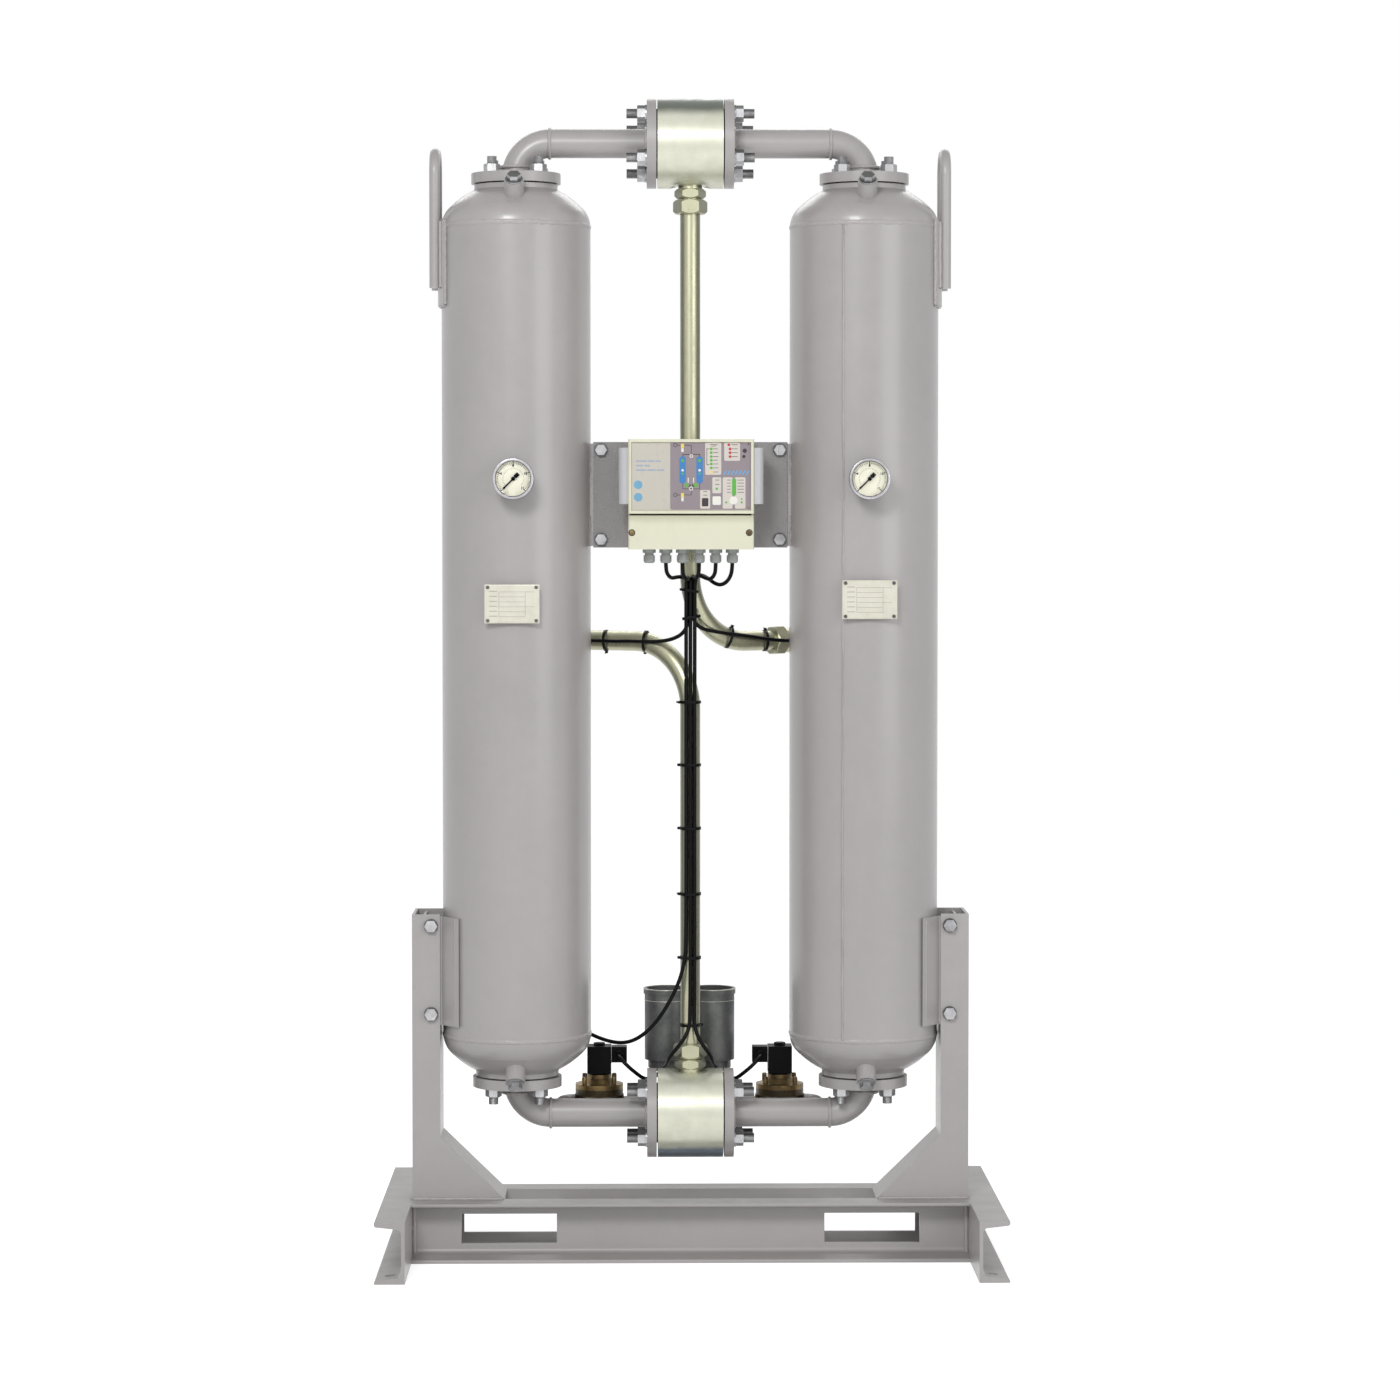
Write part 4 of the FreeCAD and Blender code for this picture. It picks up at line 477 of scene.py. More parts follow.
# Cables from the glands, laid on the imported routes
cable = {"diameter": 6.6, "sides": 5, "steps": 10, "lean": 34, "level": 1035,
         "glandPitch": 27.7, "glandY": -75, "glandTop": 1175, "glandEnd": 1157}


def glandStart(index):
    across = (index - 2.5) * cable["glandPitch"]
    return [(across, cable["glandY"], cable["glandTop"]),
            (across, cable["glandY"], cable["glandEnd"])]


def besideTube(side, *places):
    # Points beside a leaning level tube, each along, in front of and above its axis.
    c, d = cos(radians(cable["lean"])), sin(radians(cable["lean"]))
    return [(side * (c * along + d * off), d * along - c * off, cable["level"] + rise)
            for along, off, rise in places]


def mirrored(points):
    return [(-x, y, z) for x, y, z in points]


coilEnd = [(79, 65, 286), (91, 58.5, 296), (103, 53.5, 306.6), (113, 54.5, 316.4),
           (118, 58.8, 321.5), (121, 66, 324.5), (121, 74.5, 324.5)]
cableRoutes = {
    "inletSensorCable": ("cable_inlet_sensor", 0.378, glandStart(1) + [
        (-37.5, -68.5, 1148), (-32, -56, 1143.5), (-25, -42, 1144.8), (-17.3, -31.4, 1145.6),
        (-10.8, -26.2, 1144.2), (-5.8, -22.3, 1138.8), (-3.6, -20.5, 1131),
        (-3.7, -19.6, 1092), (-4, -18.8, 1069), (-10, -13, 1052), (-26, -1, 1041),
        (-50, 13, 1035.5), (-79, 26.5, 1035)] + besideTube(
            -1, (112, 22.55, 0.5), (138, 22.55, -0.5), (170, 22.55, 0), (199, 22.55, 0))),
    "outletSensorCable": ("cable_outlet_sensor", 0.396, glandStart(5) + [
        (64.5, -69, 1142.5), (55, -59, 1133), (43, -49, 1132.5), (27.5, -36.3, 1144.6),
        (18.2, -30.1, 1148.6), (11.3, -25.6, 1147.2), (6, -22.1, 1141.8),
        (3.6, -20.5, 1134), (3.6, -20.6, 1086), (5.5, -20.2, 1073),
        (12, -16.2, 1063)] + besideTube(
            1, (14, 20.6, 21.5), (40, 20.8, 17), (75, 21, 12.5), (112, 22, 8), (140, 25, 3.5),
            (165, 29.6, 0.8), (181, 30, 0), (195, 30, 0))),
    "vesselSensorCable": ("cable_vessel_sensor", 1.106, glandStart(2) + [
        (-12, -70.5, 1147.5), (-8, -62.5, 1142), (-4.5, -53, 1142), (-4.5, -43.5, 1143.7),
        (-5.9, -35.5, 1142.2), (-6.9, -29.4, 1136.8), (-7.2, -26.8, 1129),
        (-7.2, -26, 1040), (-7.2, -19.4, 940), (-7.2, -19.4, 530),
        (-9.5, -20.5, 500), (-17, -22, 468), (-31, -21, 436), (-51, -13, 402),
        (-73, -1, 375), (-96, 14, 358), (-118, 29, 352), (-141, 45, 354),
        (-165, 62, 361), (-190, 83, 371), (-215, 108, 381), (-236, 124, 390),
        (-254, 130.7, 396), (-268.5, 130.7, 396)]),
    "leftValveCable": ("cable_left_valve", 1.066, glandStart(3) + [
        (12.2, -69.5, 1148), (9.8, -61, 1143.5), (7.2, -52, 1144.5), (4.8, -43.5, 1145.6),
        (2.5, -35.6, 1144.2), (0.8, -29.4, 1138.8), (0, -26.8, 1131),
        (0, -26, 1040), (0, -20.6, 940), (0, -20.6, 470), (-0.5, -21, 430),
        (-1, -21, 405), (-1.4, -21.6, 388), (-8, -27.5, 371), (-21, -28.5, 353),
        (-33, -17, 338), (-38.5, 4, 324), (-41, 30, 315), (-48, 50, 303), (-57, 60, 292),
        (-66, 65, 286)] + mirrored(coilEnd)),
    "rightValveCable": ("cable_right_valve", 1.075, glandStart(4) + [
        (38.5, -70.5, 1147), (32, -61.5, 1141.5), (24, -50.3, 1144), (17.3, -40.9, 1147.6),
        (12.6, -34.2, 1146.2), (8.9, -29, 1140.8), (7.2, -26.8, 1133),
        (7.2, -26, 1040), (7.2, -19.4, 940), (7.2, -19.4, 470), (6.9, -19.8, 430),
        (6.6, -20.2, 405), (6.8, -20.8, 388), (12, -27, 371), (23, -28.5, 353),
        (33.5, -17, 338), (38.5, 4, 324), (42, 30, 315), (49, 50, 303), (58, 60, 292),
        (67, 65, 286)] + coilEnd),
}


def layCable(name, node, route):
    deselectAll()
    bpy.ops.curve.primitive_nurbs_path_add(location=(0, 0, 0))
    lead = bpy.context.object
    lead.name = name
    curve = lead.data
    curve.splines.clear()
    spline = curve.splines.new("NURBS")
    spline.points.add(len(route) - 1)
    for point, place in zip(spline.points, route):
        point.co = (*metres(place), 1)
    spline.order_u = 3
    spline.use_endpoint_u = True
    spline.resolution_u = cable["steps"]
    curve.bevel_depth = cable["diameter"] / 2 * mm
    curve.bevel_resolution = cable["sides"]
    curve.use_fill_caps = True
    curve.materials.clear()
    curve.materials.append(cableJacket)
    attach(lead, "dryer")
    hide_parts(node)


for name, (node, length, route) in cableRoutes.items():
    layCable(name, node, route)
print("cables laid")

# Cable ties
tie = {"wide": 4.8, "thick": 1.1, "head": (5.2, 5.6, 4.6), "tail": (9.0, 1.0, 3.2),
       "headOut": 2.0, "tailOut": 3.0, "tailAlong": 5.5, "tailTurn": 78}


def makeTie(place, radii, headAt, tilt, way):
    # One oval band round the cables, its lock and its cut tail.
    deselectAll()
    bpy.ops.mesh.primitive_cylinder_add(vertices=48, radius=1, depth=tie["wide"] * mm,
                                        end_fill_type="NOTHING")
    band = bpy.context.object
    openMesh(band)
    bpy.ops.transform.resize(value=(radii[0] * mm, radii[1] * mm, 1))
    closeMesh()
    shaped(band, "SOLIDIFY", thickness=tie["thick"] * mm, offset=1)
    shaped(band, "BEVEL", width=0.3 * mm, segments=2, limit_method="ANGLE")
    c, d = cos(radians(headAt)), sin(radians(headAt))
    out, past, along = tie["headOut"], tie["tailOut"], way * tie["tailAlong"]
    lock = slab(tie["head"], ((radii[0] + out) * c, (radii[1] + out) * d, 0), 0.9, 2,
                (0, 0, radians(headAt)))
    shift = (radii[0] + past) * c - along * d, (radii[1] + past) * d + along * c, 0
    tail = slab(tie["tail"], shift, 0.4, 2, (0, 0, radians(headAt + way * tie["tailTurn"])))
    whole = joined([settled(band), settled(lock), settled(tail)])
    whole.rotation_euler = [radians(angle) for angle in tilt]
    whole.location = metres(place)
    return settled(whole)


tiePlaces = [((0, -3.9, z), (17.3, 20.8), angle, (0, 0, 0), way) for z, angle, way in (
    (934, 200, -1), (828, 184, -1), (721, 176, -1), (610, 190, -1), (502, 182, -1), (388, 4, 1))]
tiePlaces += [((0, -23.8, 1122), (13.2, 8.6), 186, (0, 8, 0), -1),
              ((0, -23.8, 1077), (13.0, 8.4), 8, (0, -10, 0), 1),
              ((-75.0, 47.6, 1035.0), (17.3, 21.6), 176, (0, -86, -12), -1),
              ((-142.5, 93.4, 1035.0), (17.3, 21.6), 176, (0, -91, -13), 1),
              ((66.0, 40.6, 1041.6), (17.8, 21.8), 184, (0, 106, 12), 1),
              ((128.5, 83.8, 1035.0), (17.3, 21.4), 184, (0, 91, 13), -1)]
dress([makeTie(*row) for row in tiePlaces], "cableTies", cableJacket, angle=40)
print("cable ties closed")

# Weld beads
weld = {"ripple": 0.35, "sides": 8, "step": 2.6}


def roughened(thing, amount, seed):
    openMesh(thing)
    bpy.ops.transform.vertex_random(offset=amount * mm, uniform=0.2, normal=0.6, seed=seed)
    closeMesh()
    return settled(thing)


def ring(place, radius, bead, around, sides, ripple, seed, turn=(90, 0, 0)):
    # A torus with an uneven skin, facing the front unless it is turned.
    deselectAll()
    bpy.ops.mesh.primitive_torus_add(
        major_radius=radius * mm, minor_radius=bead * mm, major_segments=around,
        minor_segments=sides, location=metres(place), rotation=[radians(a) for a in turn])
    return roughened(bpy.context.object, ripple, seed)


def ringBead(place, radius, bead, step, seed, turn=(0, 0, 0)):
    # A full ring of weld round a pipe or shell.
    around = max(48, int(2 * pi * radius / step))
    return ring(place, radius, bead, around, weld["sides"] + 2, weld["ripple"], seed, turn)


def arcBead(axis, radius, z, first, last, bead, seed):
    # Part of a ring, spun round an upright axis from one angle to another.
    deselectAll()
    c, d = cos(radians(first)), sin(radians(first))
    bpy.ops.mesh.primitive_circle_add(
        vertices=weld["sides"], radius=bead * mm, fill_type="NOTHING",
        location=metres((axis[0] + radius * c, axis[1] + radius * d, z)),
        rotation=(radians(90), 0, radians(first)))
    arc = settled(bpy.context.object)
    openMesh(arc)
    steps = max(6, int(radians(abs(last - first)) * radius / weld["step"]))
    bpy.ops.mesh.spin(steps=steps, angle=radians(first - last), center=metres((*axis, z)),
                      axis=(0, 0, 1))
    bpy.ops.mesh.select_all(action="SELECT")
    bpy.ops.mesh.fill_holes(sides=0)
    bpy.ops.mesh.select_all(action="SELECT")
    bpy.ops.mesh.normals_make_consistent(inside=False)
    closeMesh()
    return roughened(arc, weld["ripple"], seed)


def lineBead(start, end, bead, seed):
    # A straight run of weld with a rippled skin.
    start, end = Vector(start), Vector(end)
    middle, along = (start + end) / 2, end - start
    deselectAll()
    bpy.ops.mesh.primitive_cylinder_add(
        vertices=weld["sides"], radius=bead * mm, depth=along.length * mm,
        location=middle * mm, rotation=along.to_track_quat("Z", "Y").to_euler())
    run = bpy.context.object
    cuts = min(400, max(3, int(along.length / weld["step"])))
    openMesh(run)
    bpy.ops.mesh.select_mode(type="EDGE")
    bpy.ops.mesh.select_all(action="DESELECT")
    closeMesh()
    points = run.data.vertices
    for edge in run.data.edges:
        a, b = (points[i].co for i in edge.vertices)
        edge.select = abs(a.z - b.z) > along.length * mm * 0.9
    bpy.ops.object.mode_set(mode="EDIT")
    bpy.ops.mesh.subdivide(number_cuts=cuts)
    closeMesh()
    return roughened(run, weld["ripple"], seed)


def welded(name, beads):
    dress(beads, name, weldPaint, angle=50)


vessel = {"x": 292.5, "round": 125, "seamLow": 374, "seamTop": 1732, "seamRound": 119.4,
          "neckTop": 1832.2, "neckLow": 273.8}
pipe = {"top": 1872, "low": 238, "outer": 236, "inner": 74, "bead": 2.9, "step": 2.0}
seams = []
for side in (-1, 1):
    for k, height in enumerate((vessel["seamLow"], vessel["seamTop"])):
        seams.append(ringBead((side * vessel["x"], 0, height), vessel["seamRound"], 6.8, 3.0,
                              10 + k + side))
reach = vessel["round"] + 0.2
for side, angle, seed in ((1, -109, 21), (-1, 70, 22)):
    lengthwise = (side * vessel["x"] + reach * cos(radians(angle)), reach * sin(radians(angle)))
    seams.append(lineBead((*lengthwise, 376), (*lengthwise, 1730), 1.7, seed))
welded("shellSeams", seams)
print("shell seams laid")

pipeWelds = []
for side in (-1, 1):
    places = [((side * pipe[key], 0, height), radius, seed, (0, 90, 0))
              for height in (pipe["top"], pipe["low"])
              for key, radius, seed in (("outer", 23.9, 31), ("inner", 25.2, 32))]
    places += [((side * vessel["x"], 0, vessel[key]), 25.2, seed, (0, 0, 0))
               for key, seed in (("neckTop", 33), ("neckLow", 34))]
    for place, radius, seed, turn in places:
        pipeWelds.append(ringBead(place, radius, pipe["bead"], pipe["step"], seed, turn))
welded("pipeWelds", pipeWelds)
print("pipe welds laid")

# Welds of the lifting lugs: along the legs' edges and round the curved pads
lug = {"legs": (-35, 35), "edges": (-7.4, 7.4), "foot": 131, "low": 1629, "top": 1739,
       "pad": 126.6, "padEdges": (-50, 50), "padLow": 1600, "padTop": 1740, "padAngle": 22.5}
lugWelds = []
for side in (-1, 1):
    for leg in lug["legs"]:
        for edge in lug["edges"]:
            y = leg + edge
            x = side * (vessel["x"] + sqrt(lug["foot"] ** 2 - y * y) + 0.6)
            lugWelds.append(lineBead((x, y, lug["low"]), (x, y, lug["top"]), 3.3, 41 + int(y)))
    for edge in lug["padEdges"]:
        x, y = side * (vessel["x"] + sqrt(lug["pad"] ** 2 - edge * edge)), edge * 1.02
        lugWelds.append(lineBead((x, y, lug["padLow"]), (x, y, lug["padTop"]), 3.0, 51 + edge))
    middle = 0 if side > 0 else 180
    for height in (lug["padLow"] - 1, lug["padTop"] + 1):
        lugWelds.append(arcBead((side * vessel["x"], 0), 127, height, middle - lug["padAngle"],
                                middle + lug["padAngle"], 3.0, 61))
welded("lugWelds", lugWelds)

# Runs at all four corners: start, end, size, seed and the seed's gain to the back
bracketRuns = [((392, 76.5, 397), (392, 76.5, 573), 4.2, 71, 1)]
frameRuns = [((464, 57, 8), (464, 57, 92), 4.0, 81, 0),
             ((465, 56.5, 101.4), (316, 56.5, 101.4), 2.6, 82, 0),
             ((468.5, 49, 101.6), (468.5, 54, 101.6), 2.4, 83, 0)]
corners = [(side, edge) for side in (-1, 1) for edge in (-1, 1)]
for name, runs in (("bracketWelds", bracketRuns), ("frameWelds", frameRuns)):
    welded(name, [
        lineBead((side * start[0], edge * start[1], start[2]),
                 (side * end[0], edge * end[1], end[2]), bead, seed + gain * edge)
        for side, edge in corners for start, end, bead, seed, gain in runs])
print("frame welds laid")

# Bare data plates on folded holders
plate = {"long": 91, "tall": 64, "thick": 1.2, "left": (-296, -134.4, 1102),
         "right": (295, -134.4, 1109), "screwX": 40, "screwZ": 27.5, "holder": (74, 10.5, 46),
         "ruleLong": (58, 43.5, 43.5, 58, 43.5, 43.5), "ruleFrom": -21.5, "ruleTo": 22.0,
         "ruleTop": 20, "rulePitch": 8.2, "ink": 0.24}


def screwHead(radius, tall, place, slotWide=0.0, turn=(90, 0, 0), spin=0):
    # A domed head with a driver slot, facing the front unless it is turned.
    deselectAll()
    bpy.ops.mesh.primitive_cylinder_add(vertices=28, radius=radius * mm, depth=tall * mm)
    head = bpy.context.object
    insetFaces(head, lambda normal: normal.z > 0.9, radius * 0.22, (0, 0, tall * 0.22))
    shaped(head, "BEVEL", width=radius * 0.08 * mm, segments=2, limit_method="ANGLE")
    if slotWide:
        cutter = slab((radius * 2.4, slotWide, tall), (0, 0, tall * 0.62))
        shaped(head, "BOOLEAN", object=cutter, operation="DIFFERENCE", solver="EXACT")
        bpy.data.objects.remove(cutter)
    head.rotation_euler = (0, 0, radians(spin))
    settled(head)
    head.rotation_euler = [radians(angle) for angle in turn]
    head.location = metres(place)
    return settled(head)


plates, holders, plateScrews = [], [], []
for k, key in enumerate(("left", "right")):
    x, y, z = plate[key]
    sheet = slab((plate["long"], plate["thick"], plate["tall"]), (x, y, z), 0.35)
    plates.append(settled(insetFaces(sheet, lambda normal: normal.y < -0.9, 1.6, (0, 0.15, 0))))
    long, deep, tall = plate["holder"]
    holder = slab((long, deep, tall), (x, y + plate["thick"] / 2 + deep / 2, z), 1.0)
    pickFaces(holder, lambda normal: abs(normal.x) > 0.9)
    bpy.ops.mesh.inset(thickness=2.5 * mm)
    bpy.ops.mesh.extrude_region_move(TRANSFORM_OT_translate={"value": (0, 0, 0)})
    bpy.ops.transform.resize(value=(0.9, 1, 1), center_override=metres((x, y, z)))
    closeMesh()
    holders.append(settled(holder))
    for i, j in corners:
        place = (x + i * plate["screwX"], y - 1.2, z + j * plate["screwZ"])
        plateScrews.append(screwHead(2.9, 1.8, place, 0.8, spin=20 + 37 * (i + 2 * j + k)))
dress(plates, "dataPlates", plateCream)
dress(holders, "plateHolders", framePaint)
dress(plateScrews, "plateScrews", castGrey)
ruled = []
for key in ("left", "right"):
    x, y, z = plate[key]
    y, ink = y - 0.5, plate["ink"]
    for k, long in enumerate(plate["ruleLong"]):
        height = z + plate["ruleTop"] - k * plate["rulePitch"]
        ruled.append(slab((long, ink, 0.55), (x + plate["ruleFrom"] + long / 2, y, height)))
        ruled.append(slab((13, ink, 1.1), (x - 31, y, height + 0.9)))
    for across in (plate["ruleFrom"], plate["ruleTo"]):
        ruled.append(slab((0.55, ink, 41), (x + across, y, z - 0.5)))
dress([settled(line) for line in ruled], "plateRules", ruleGrey)
print("data plates fixed")

# Welded strips behind the ends of the panel plate, between its lugs
strip = {"from": 157.5, "to": 170.2, "thick": 5.6, "y": -17, "low": 1219, "high": 1347,
         "bead": (168.4, -20.9), "inset": 4, "run": 24}
strips = []
for side in (-1, 1):
    middle = side * (strip["from"] + strip["to"]) / 2
    bar = slab((strip["to"] - strip["from"], strip["thick"], strip["high"] - strip["low"]),
               (middle, strip["y"], (strip["low"] + strip["high"]) / 2), 0.6)
    strips.append(settled(insetFaces(bar, lambda normal: normal.y < -0.9, 1.4)))
    x, y = strip["bead"]
    for height in (strip["low"] + strip["inset"], strip["high"] - strip["inset"]):
        strips.append(lineBead((side * x, y, height - strip["run"]),
                               (side * x, y, height + strip["run"]), 1.6, 41))
dress(strips, "plateStrips", weldPaint)
print("plate strips welded")

# Small screws of the controller, the cover, the valves and their plugs
cover = {"screws": (-98, 96), "z": 1219.6, "y": -126.7, "seatY": -126.0}
coverScrews = [screwHead(3.9, 1.6, (x, cover["y"], cover["z"]), 1.0, spin=25 + x)
               for x in cover["screws"]]
coverScrews += [screwHead(1.5, 0.8, (94.6, -124.8, z), 0.5, spin=z) for z in (1366, 1261)]
dress(coverScrews, "coverScrews", agedBrass)
coverSeats = [ring((x, cover["seatY"], cover["z"]), 4.9, 0.7, 36, 10, 0.02, 5)
              for x in cover["screws"]]
dress(coverSeats, "coverSeats", coilPlastic)

valve = {"x": 155, "y": 100, "reach": 36, "top": 274.6, "head": (4.3, 11)}
wide, tall = valve["head"]
capHeads = []
for side in (-1, 1):
    for k in range(4):
        angle = radians(45 + 90 * k)
        x = side * valve["x"] + valve["reach"] * cos(angle)
        y = valve["y"] + valve["reach"] * sin(angle)
        capHeads.append(screwHead(wide, tall, (x, y, valve["top"] + tall / 2 - 0.3), 1.3,
                                  (0, 0, 0), 35 + 70 * k))
dress(capHeads, "bonnetScrews", agedBrass)

# Pale rings on the silencers: the one at the lip is pale bare metal with a painted highlight along
# the rim, the one at the groove a pale machined band.
rim = {"x": 39, "y": 100, "lip": (39.7, 437.6, 0.9), "groove": (38.0, 418, 0.6)}
rimRings = [ring((side * rim["x"], rim["y"], height), radius, bead, 72, 10, 0.05, 11, (0, 0, 0))
            for side in (-1, 1) for radius, height, bead in (rim["lip"], rim["groove"])]
dress(rimRings, "silencerRims", paleZinc)
gland = {"x": 121, "y": 74.5, "z": 324.5, "rings": ((6.9, 0.3), (4.9, 0.0))}
plugRings = [ring((side * gland["x"], gland["y"] + lift, gland["z"]), radius, 0.55, 36, 8, 0.02, 7)
             for side in (-1, 1) for radius, lift in gland["rings"]]
dress(plugRings, "plugRings", coilPlastic)
seal = {"size": (1.6, 27.6, 27.6), "x": 134.6, "y": 94}
plugSeals = [settled(insetFaces(
    slab(seal["size"], (side * seal["x"], seal["y"], gland["z"]), 0.5),
    lambda normal: abs(normal.x) > 0.9, 1.2)) for side in (-1, 1)]
dress(plugSeals, "plugSeals", clipPlastic)
print("small screws fixed")

# Membrane panel: flat printed fields and keys, laid out on a grid of the panel's own
panel = {"scale": 0.29604, "left": -217.3, "top": 1437.2, "face": -124.5}


def panelPoint(u, v):
    return panel["scale"] * u + panel["left"], panel["top"] - panel["scale"] * v


def patch(u0, v0, u1, v1, lift, roundness=0.0, slant=0.0):
    # A printed field between two corners, its face lifted a little off the film.
    (x0, z0), (x1, z1) = panelPoint(u0, v0), panelPoint(u1, v1)
    deselectAll()
    bpy.ops.mesh.primitive_plane_add(size=1, rotation=frontward)
    field = settled(bpy.context.object)
    openMesh(field)
    bpy.ops.transform.resize(value=((x1 - x0) * mm, 1, (z0 - z1) * mm))
    if roundness:
        bpy.ops.mesh.bevel(offset=roundness * panel["scale"] * mm, segments=6,
                           affect="VERTICES")
    closeMesh()
    if slant:
        for point in field.data.vertices:
            point.co.x += point.co.z * slant
    shaped(field, "SOLIDIFY", thickness=lift * mm, offset=-1)
    field.location = metres(((x0 + x1) / 2, panel["face"] - lift, (z0 + z1) / 2))
    return settled(field)


def patches(corners, lift, roundness=0.0, slant=0.0):
    return [patch(*row, lift, roundness, slant) for row in corners]


def spot(u, v, radius, lift, hole=0.0):
    x, z = panelPoint(u, v)
    deselectAll()
    bpy.ops.mesh.primitive_circle_add(vertices=24, radius=radius * panel["scale"] * mm,
                                      fill_type="NGON", rotation=frontward)
    dot = settled(bpy.context.object)
    if hole:
        openMesh(dot)
        bpy.ops.mesh.inset(thickness=(radius - hole) * panel["scale"] * mm)
        bpy.ops.mesh.delete(type="FACE")
        closeMesh()
    shaped(dot, "SOLIDIFY", thickness=lift * mm, offset=-1)
    dot.location = metres((x, panel["face"] - lift, z))
    return settled(dot)


def spots(places, radius, lift):
    return [spot(u, v, radius, lift) for u, v in places]


def printed(name, red, green, blue, parts):
    ink = mould(name + "Ink", (red, green, blue), 0.25, 2500, 0.34, 0.03, 0.1)
    dress(parts, name, ink, angle=30)


dashes = patches([(u, v - 4, u + long, v + 4) for v, row in (
    (336, ((426, 58), (490, 40), (536, 28))), (361, ((426, 42), (474, 30))),
    (386, ((426, 56), (488, 48), (542, 42)))) for u, long in row], 0.2, 2)
printed("filmDashes", 158, 172, 194, dashes)
printed("filmDots", 112, 168, 200, spots(((438, 468), (438, 537)), 24, 0.2))
printed("mauveField", 146, 136, 142, [patch(617, 228, 1078, 607, 0.12, 12)])
printed("paleFields", 212, 206, 198, patches(
    ((812, 233, 902, 412), (918, 233, 1007, 334)), 0.24, 8) + patches(
    ((852, 426, 902, 515), (784, 497, 840, 601), (910, 426, 965, 601), (978, 426, 1037, 601)),
    0.24, 7))
printed("blueColumns", 62, 128, 190, patches(
    ((668, 309, 704, 461), (763, 309, 799, 461)), 0.28, 16))
printed("blueStripes", 110, 165, 215, patches(
    [(918 + 21 * k, 389, 927 + 21 * k, 412) for k in range(7)], 0.26, 0, 0.62))
lines = patches((
    (686, 297, 783, 301), (686, 297, 689, 312), (780, 297, 783, 312), (733, 248, 736, 300),
    (655, 246, 736, 249), (686, 459, 689, 492), (780, 459, 783, 492), (686, 489, 783, 492),
    (733, 480, 736, 525), (655, 523, 736, 526), (820, 268, 823, 356), (820, 266, 836, 269),
    (820, 354, 836, 357)), 0.3)
lines += [spot(645, 247, 11, 0.32, 8), spot(645, 524, 11, 0.32, 8),
          patch(722, 466, 730, 480, 0.34, 1, 0.5), patch(740, 466, 748, 480, 0.34, 1, -0.5)]
lines += patches(
    [(856, v - 2, 878 + (v * 7) % 9, v + 1) for v in (268, 289, 311, 331, 352, 374, 397)]
    + [(960, v - 2, 994, v + 1) for v in (245, 268, 289, 311)]
    + [(u0, v - 2, u1, v + 1) for v in (442, 459, 476, 493, 510)
       for u0, u1 in ((934, 955), (992, 1028))]
    + [(838, 242, 880, 245), (846, 250, 872, 253), (868, 440, 890, 443), (868, 464, 892, 467)],
    0.28)
lines += [spot(1033, 278, 12, 0.34), spot(1028, 310, 9, 0.34), patch(794, 542, 830, 588, 0.34, 6)]
lines += patches(((801, 504, 824, 507), (801, 524, 824, 527)), 0.28)
printed("printedLines", 52, 46, 52, lines)
whites = [spot(735, 307, 10, 0.36, 6), spot(733, 489, 11, 0.36, 7)]
whites += patches(((679, 264, 692, 285), (679, 538, 692, 560)), 0.3, 2)
whites += patches(((715, 428, 720, 456), (745, 428, 750, 456)), 0.3)
whites += spots(((686, 387), (781, 387)), 7, 0.4)
whites += [patch(853, 532, 900, 580, 0.5, 7), spot(970, 555, 23, 0.9)]
printed("whitePrint", 236, 235, 226, whites)
greens = spots(((686, 333), (781, 333)), 9, 0.4) + spots(((686, 405), (781, 405)), 6, 0.4)
greens += patches(((698, 460, 718, 480), (750, 460, 770, 480)), 0.32, 3)
greens += [patch(962, 435, 985, 526, 0.4, 4), spot(877, 490, 7, 0.36), spot(929, 566, 6, 0.34),
           spot(1016, 566, 6, 0.34), spot(1016, 548, 5, 0.34)]
greens += spots([(846, v) for v in (268, 289, 311, 331, 352, 374)], 8, 0.36)
printed("greenPrint", 92, 176, 70, greens)
printed("yellowPrint", 236, 214, 120, [spot(846, 397, 8, 0.36)] + patches(
    ((677, 238, 694, 262), (677, 514, 694, 538)), 0.32, 3))
printed("redPrint", 196, 54, 70, spots(
    ((944, 245), (951, 268), (951, 289), (951, 311)), 8, 0.36))
print("membrane printed")

# Dial scales: 270 degrees of ticks with plain numbers
dial = {"x": 292.5, "z": 1308, "face": -167.0, "ink": 0.12, "long": 28.2, "short": 26.8,
        "inner": 24.4, "from": -135, "sweep": 270, "numbers": ("0", "4", "8", "12", "16"),
        "numberTall": 5.6, "numberAt": 21.6, "fine": (16.2, 18.0), "fineEnds": 9}


def tick(angle, inner, outer, wide):
    mark = settled(slab((wide, dial["ink"] * 2, outer - inner), (0, 0, (inner + outer) / 2)))
    mark.rotation_euler = (0, radians(angle), 0)
    return settled(mark)


marks = []
for k in range(41):
    angle = dial["from"] + dial["sweep"] * k / 40
    main = k % 10 == 0
    half = k % 5 == 0
    marks.append(tick(angle, dial["inner"] - (1.8 if main else 0.0),
                      dial["long"] if half else dial["short"], 1.3 if main else 0.55))
for k in range(31):
    angle = dial["from"] + dial["fineEnds"] + (dial["sweep"] - 2 * dial["fineEnds"]) * k / 30
    marks.append(tick(angle, *dial["fine"], 0.45))
for k, word in enumerate(dial["numbers"]):
    angle = radians(dial["from"] + dial["sweep"] * k / 4)
    deselectAll()
    bpy.ops.object.text_add(rotation=frontward)
    letter = bpy.context.object
    letter.data.body = word
    letter.data.size = dial["numberTall"] * mm
    letter.data.align_x = letter.data.align_y = "CENTER"
    letter.data.extrude = dial["ink"] * mm
    letter.data.offset = 0.22 * mm
    bpy.ops.object.convert(target="MESH")
    letter = bpy.context.object
    letter.location = metres((dial["numberAt"] * sin(angle), 0, dial["numberAt"] * cos(angle)))
    marks.append(settled(letter))
scaleMarks = joined(marks)
scales = []
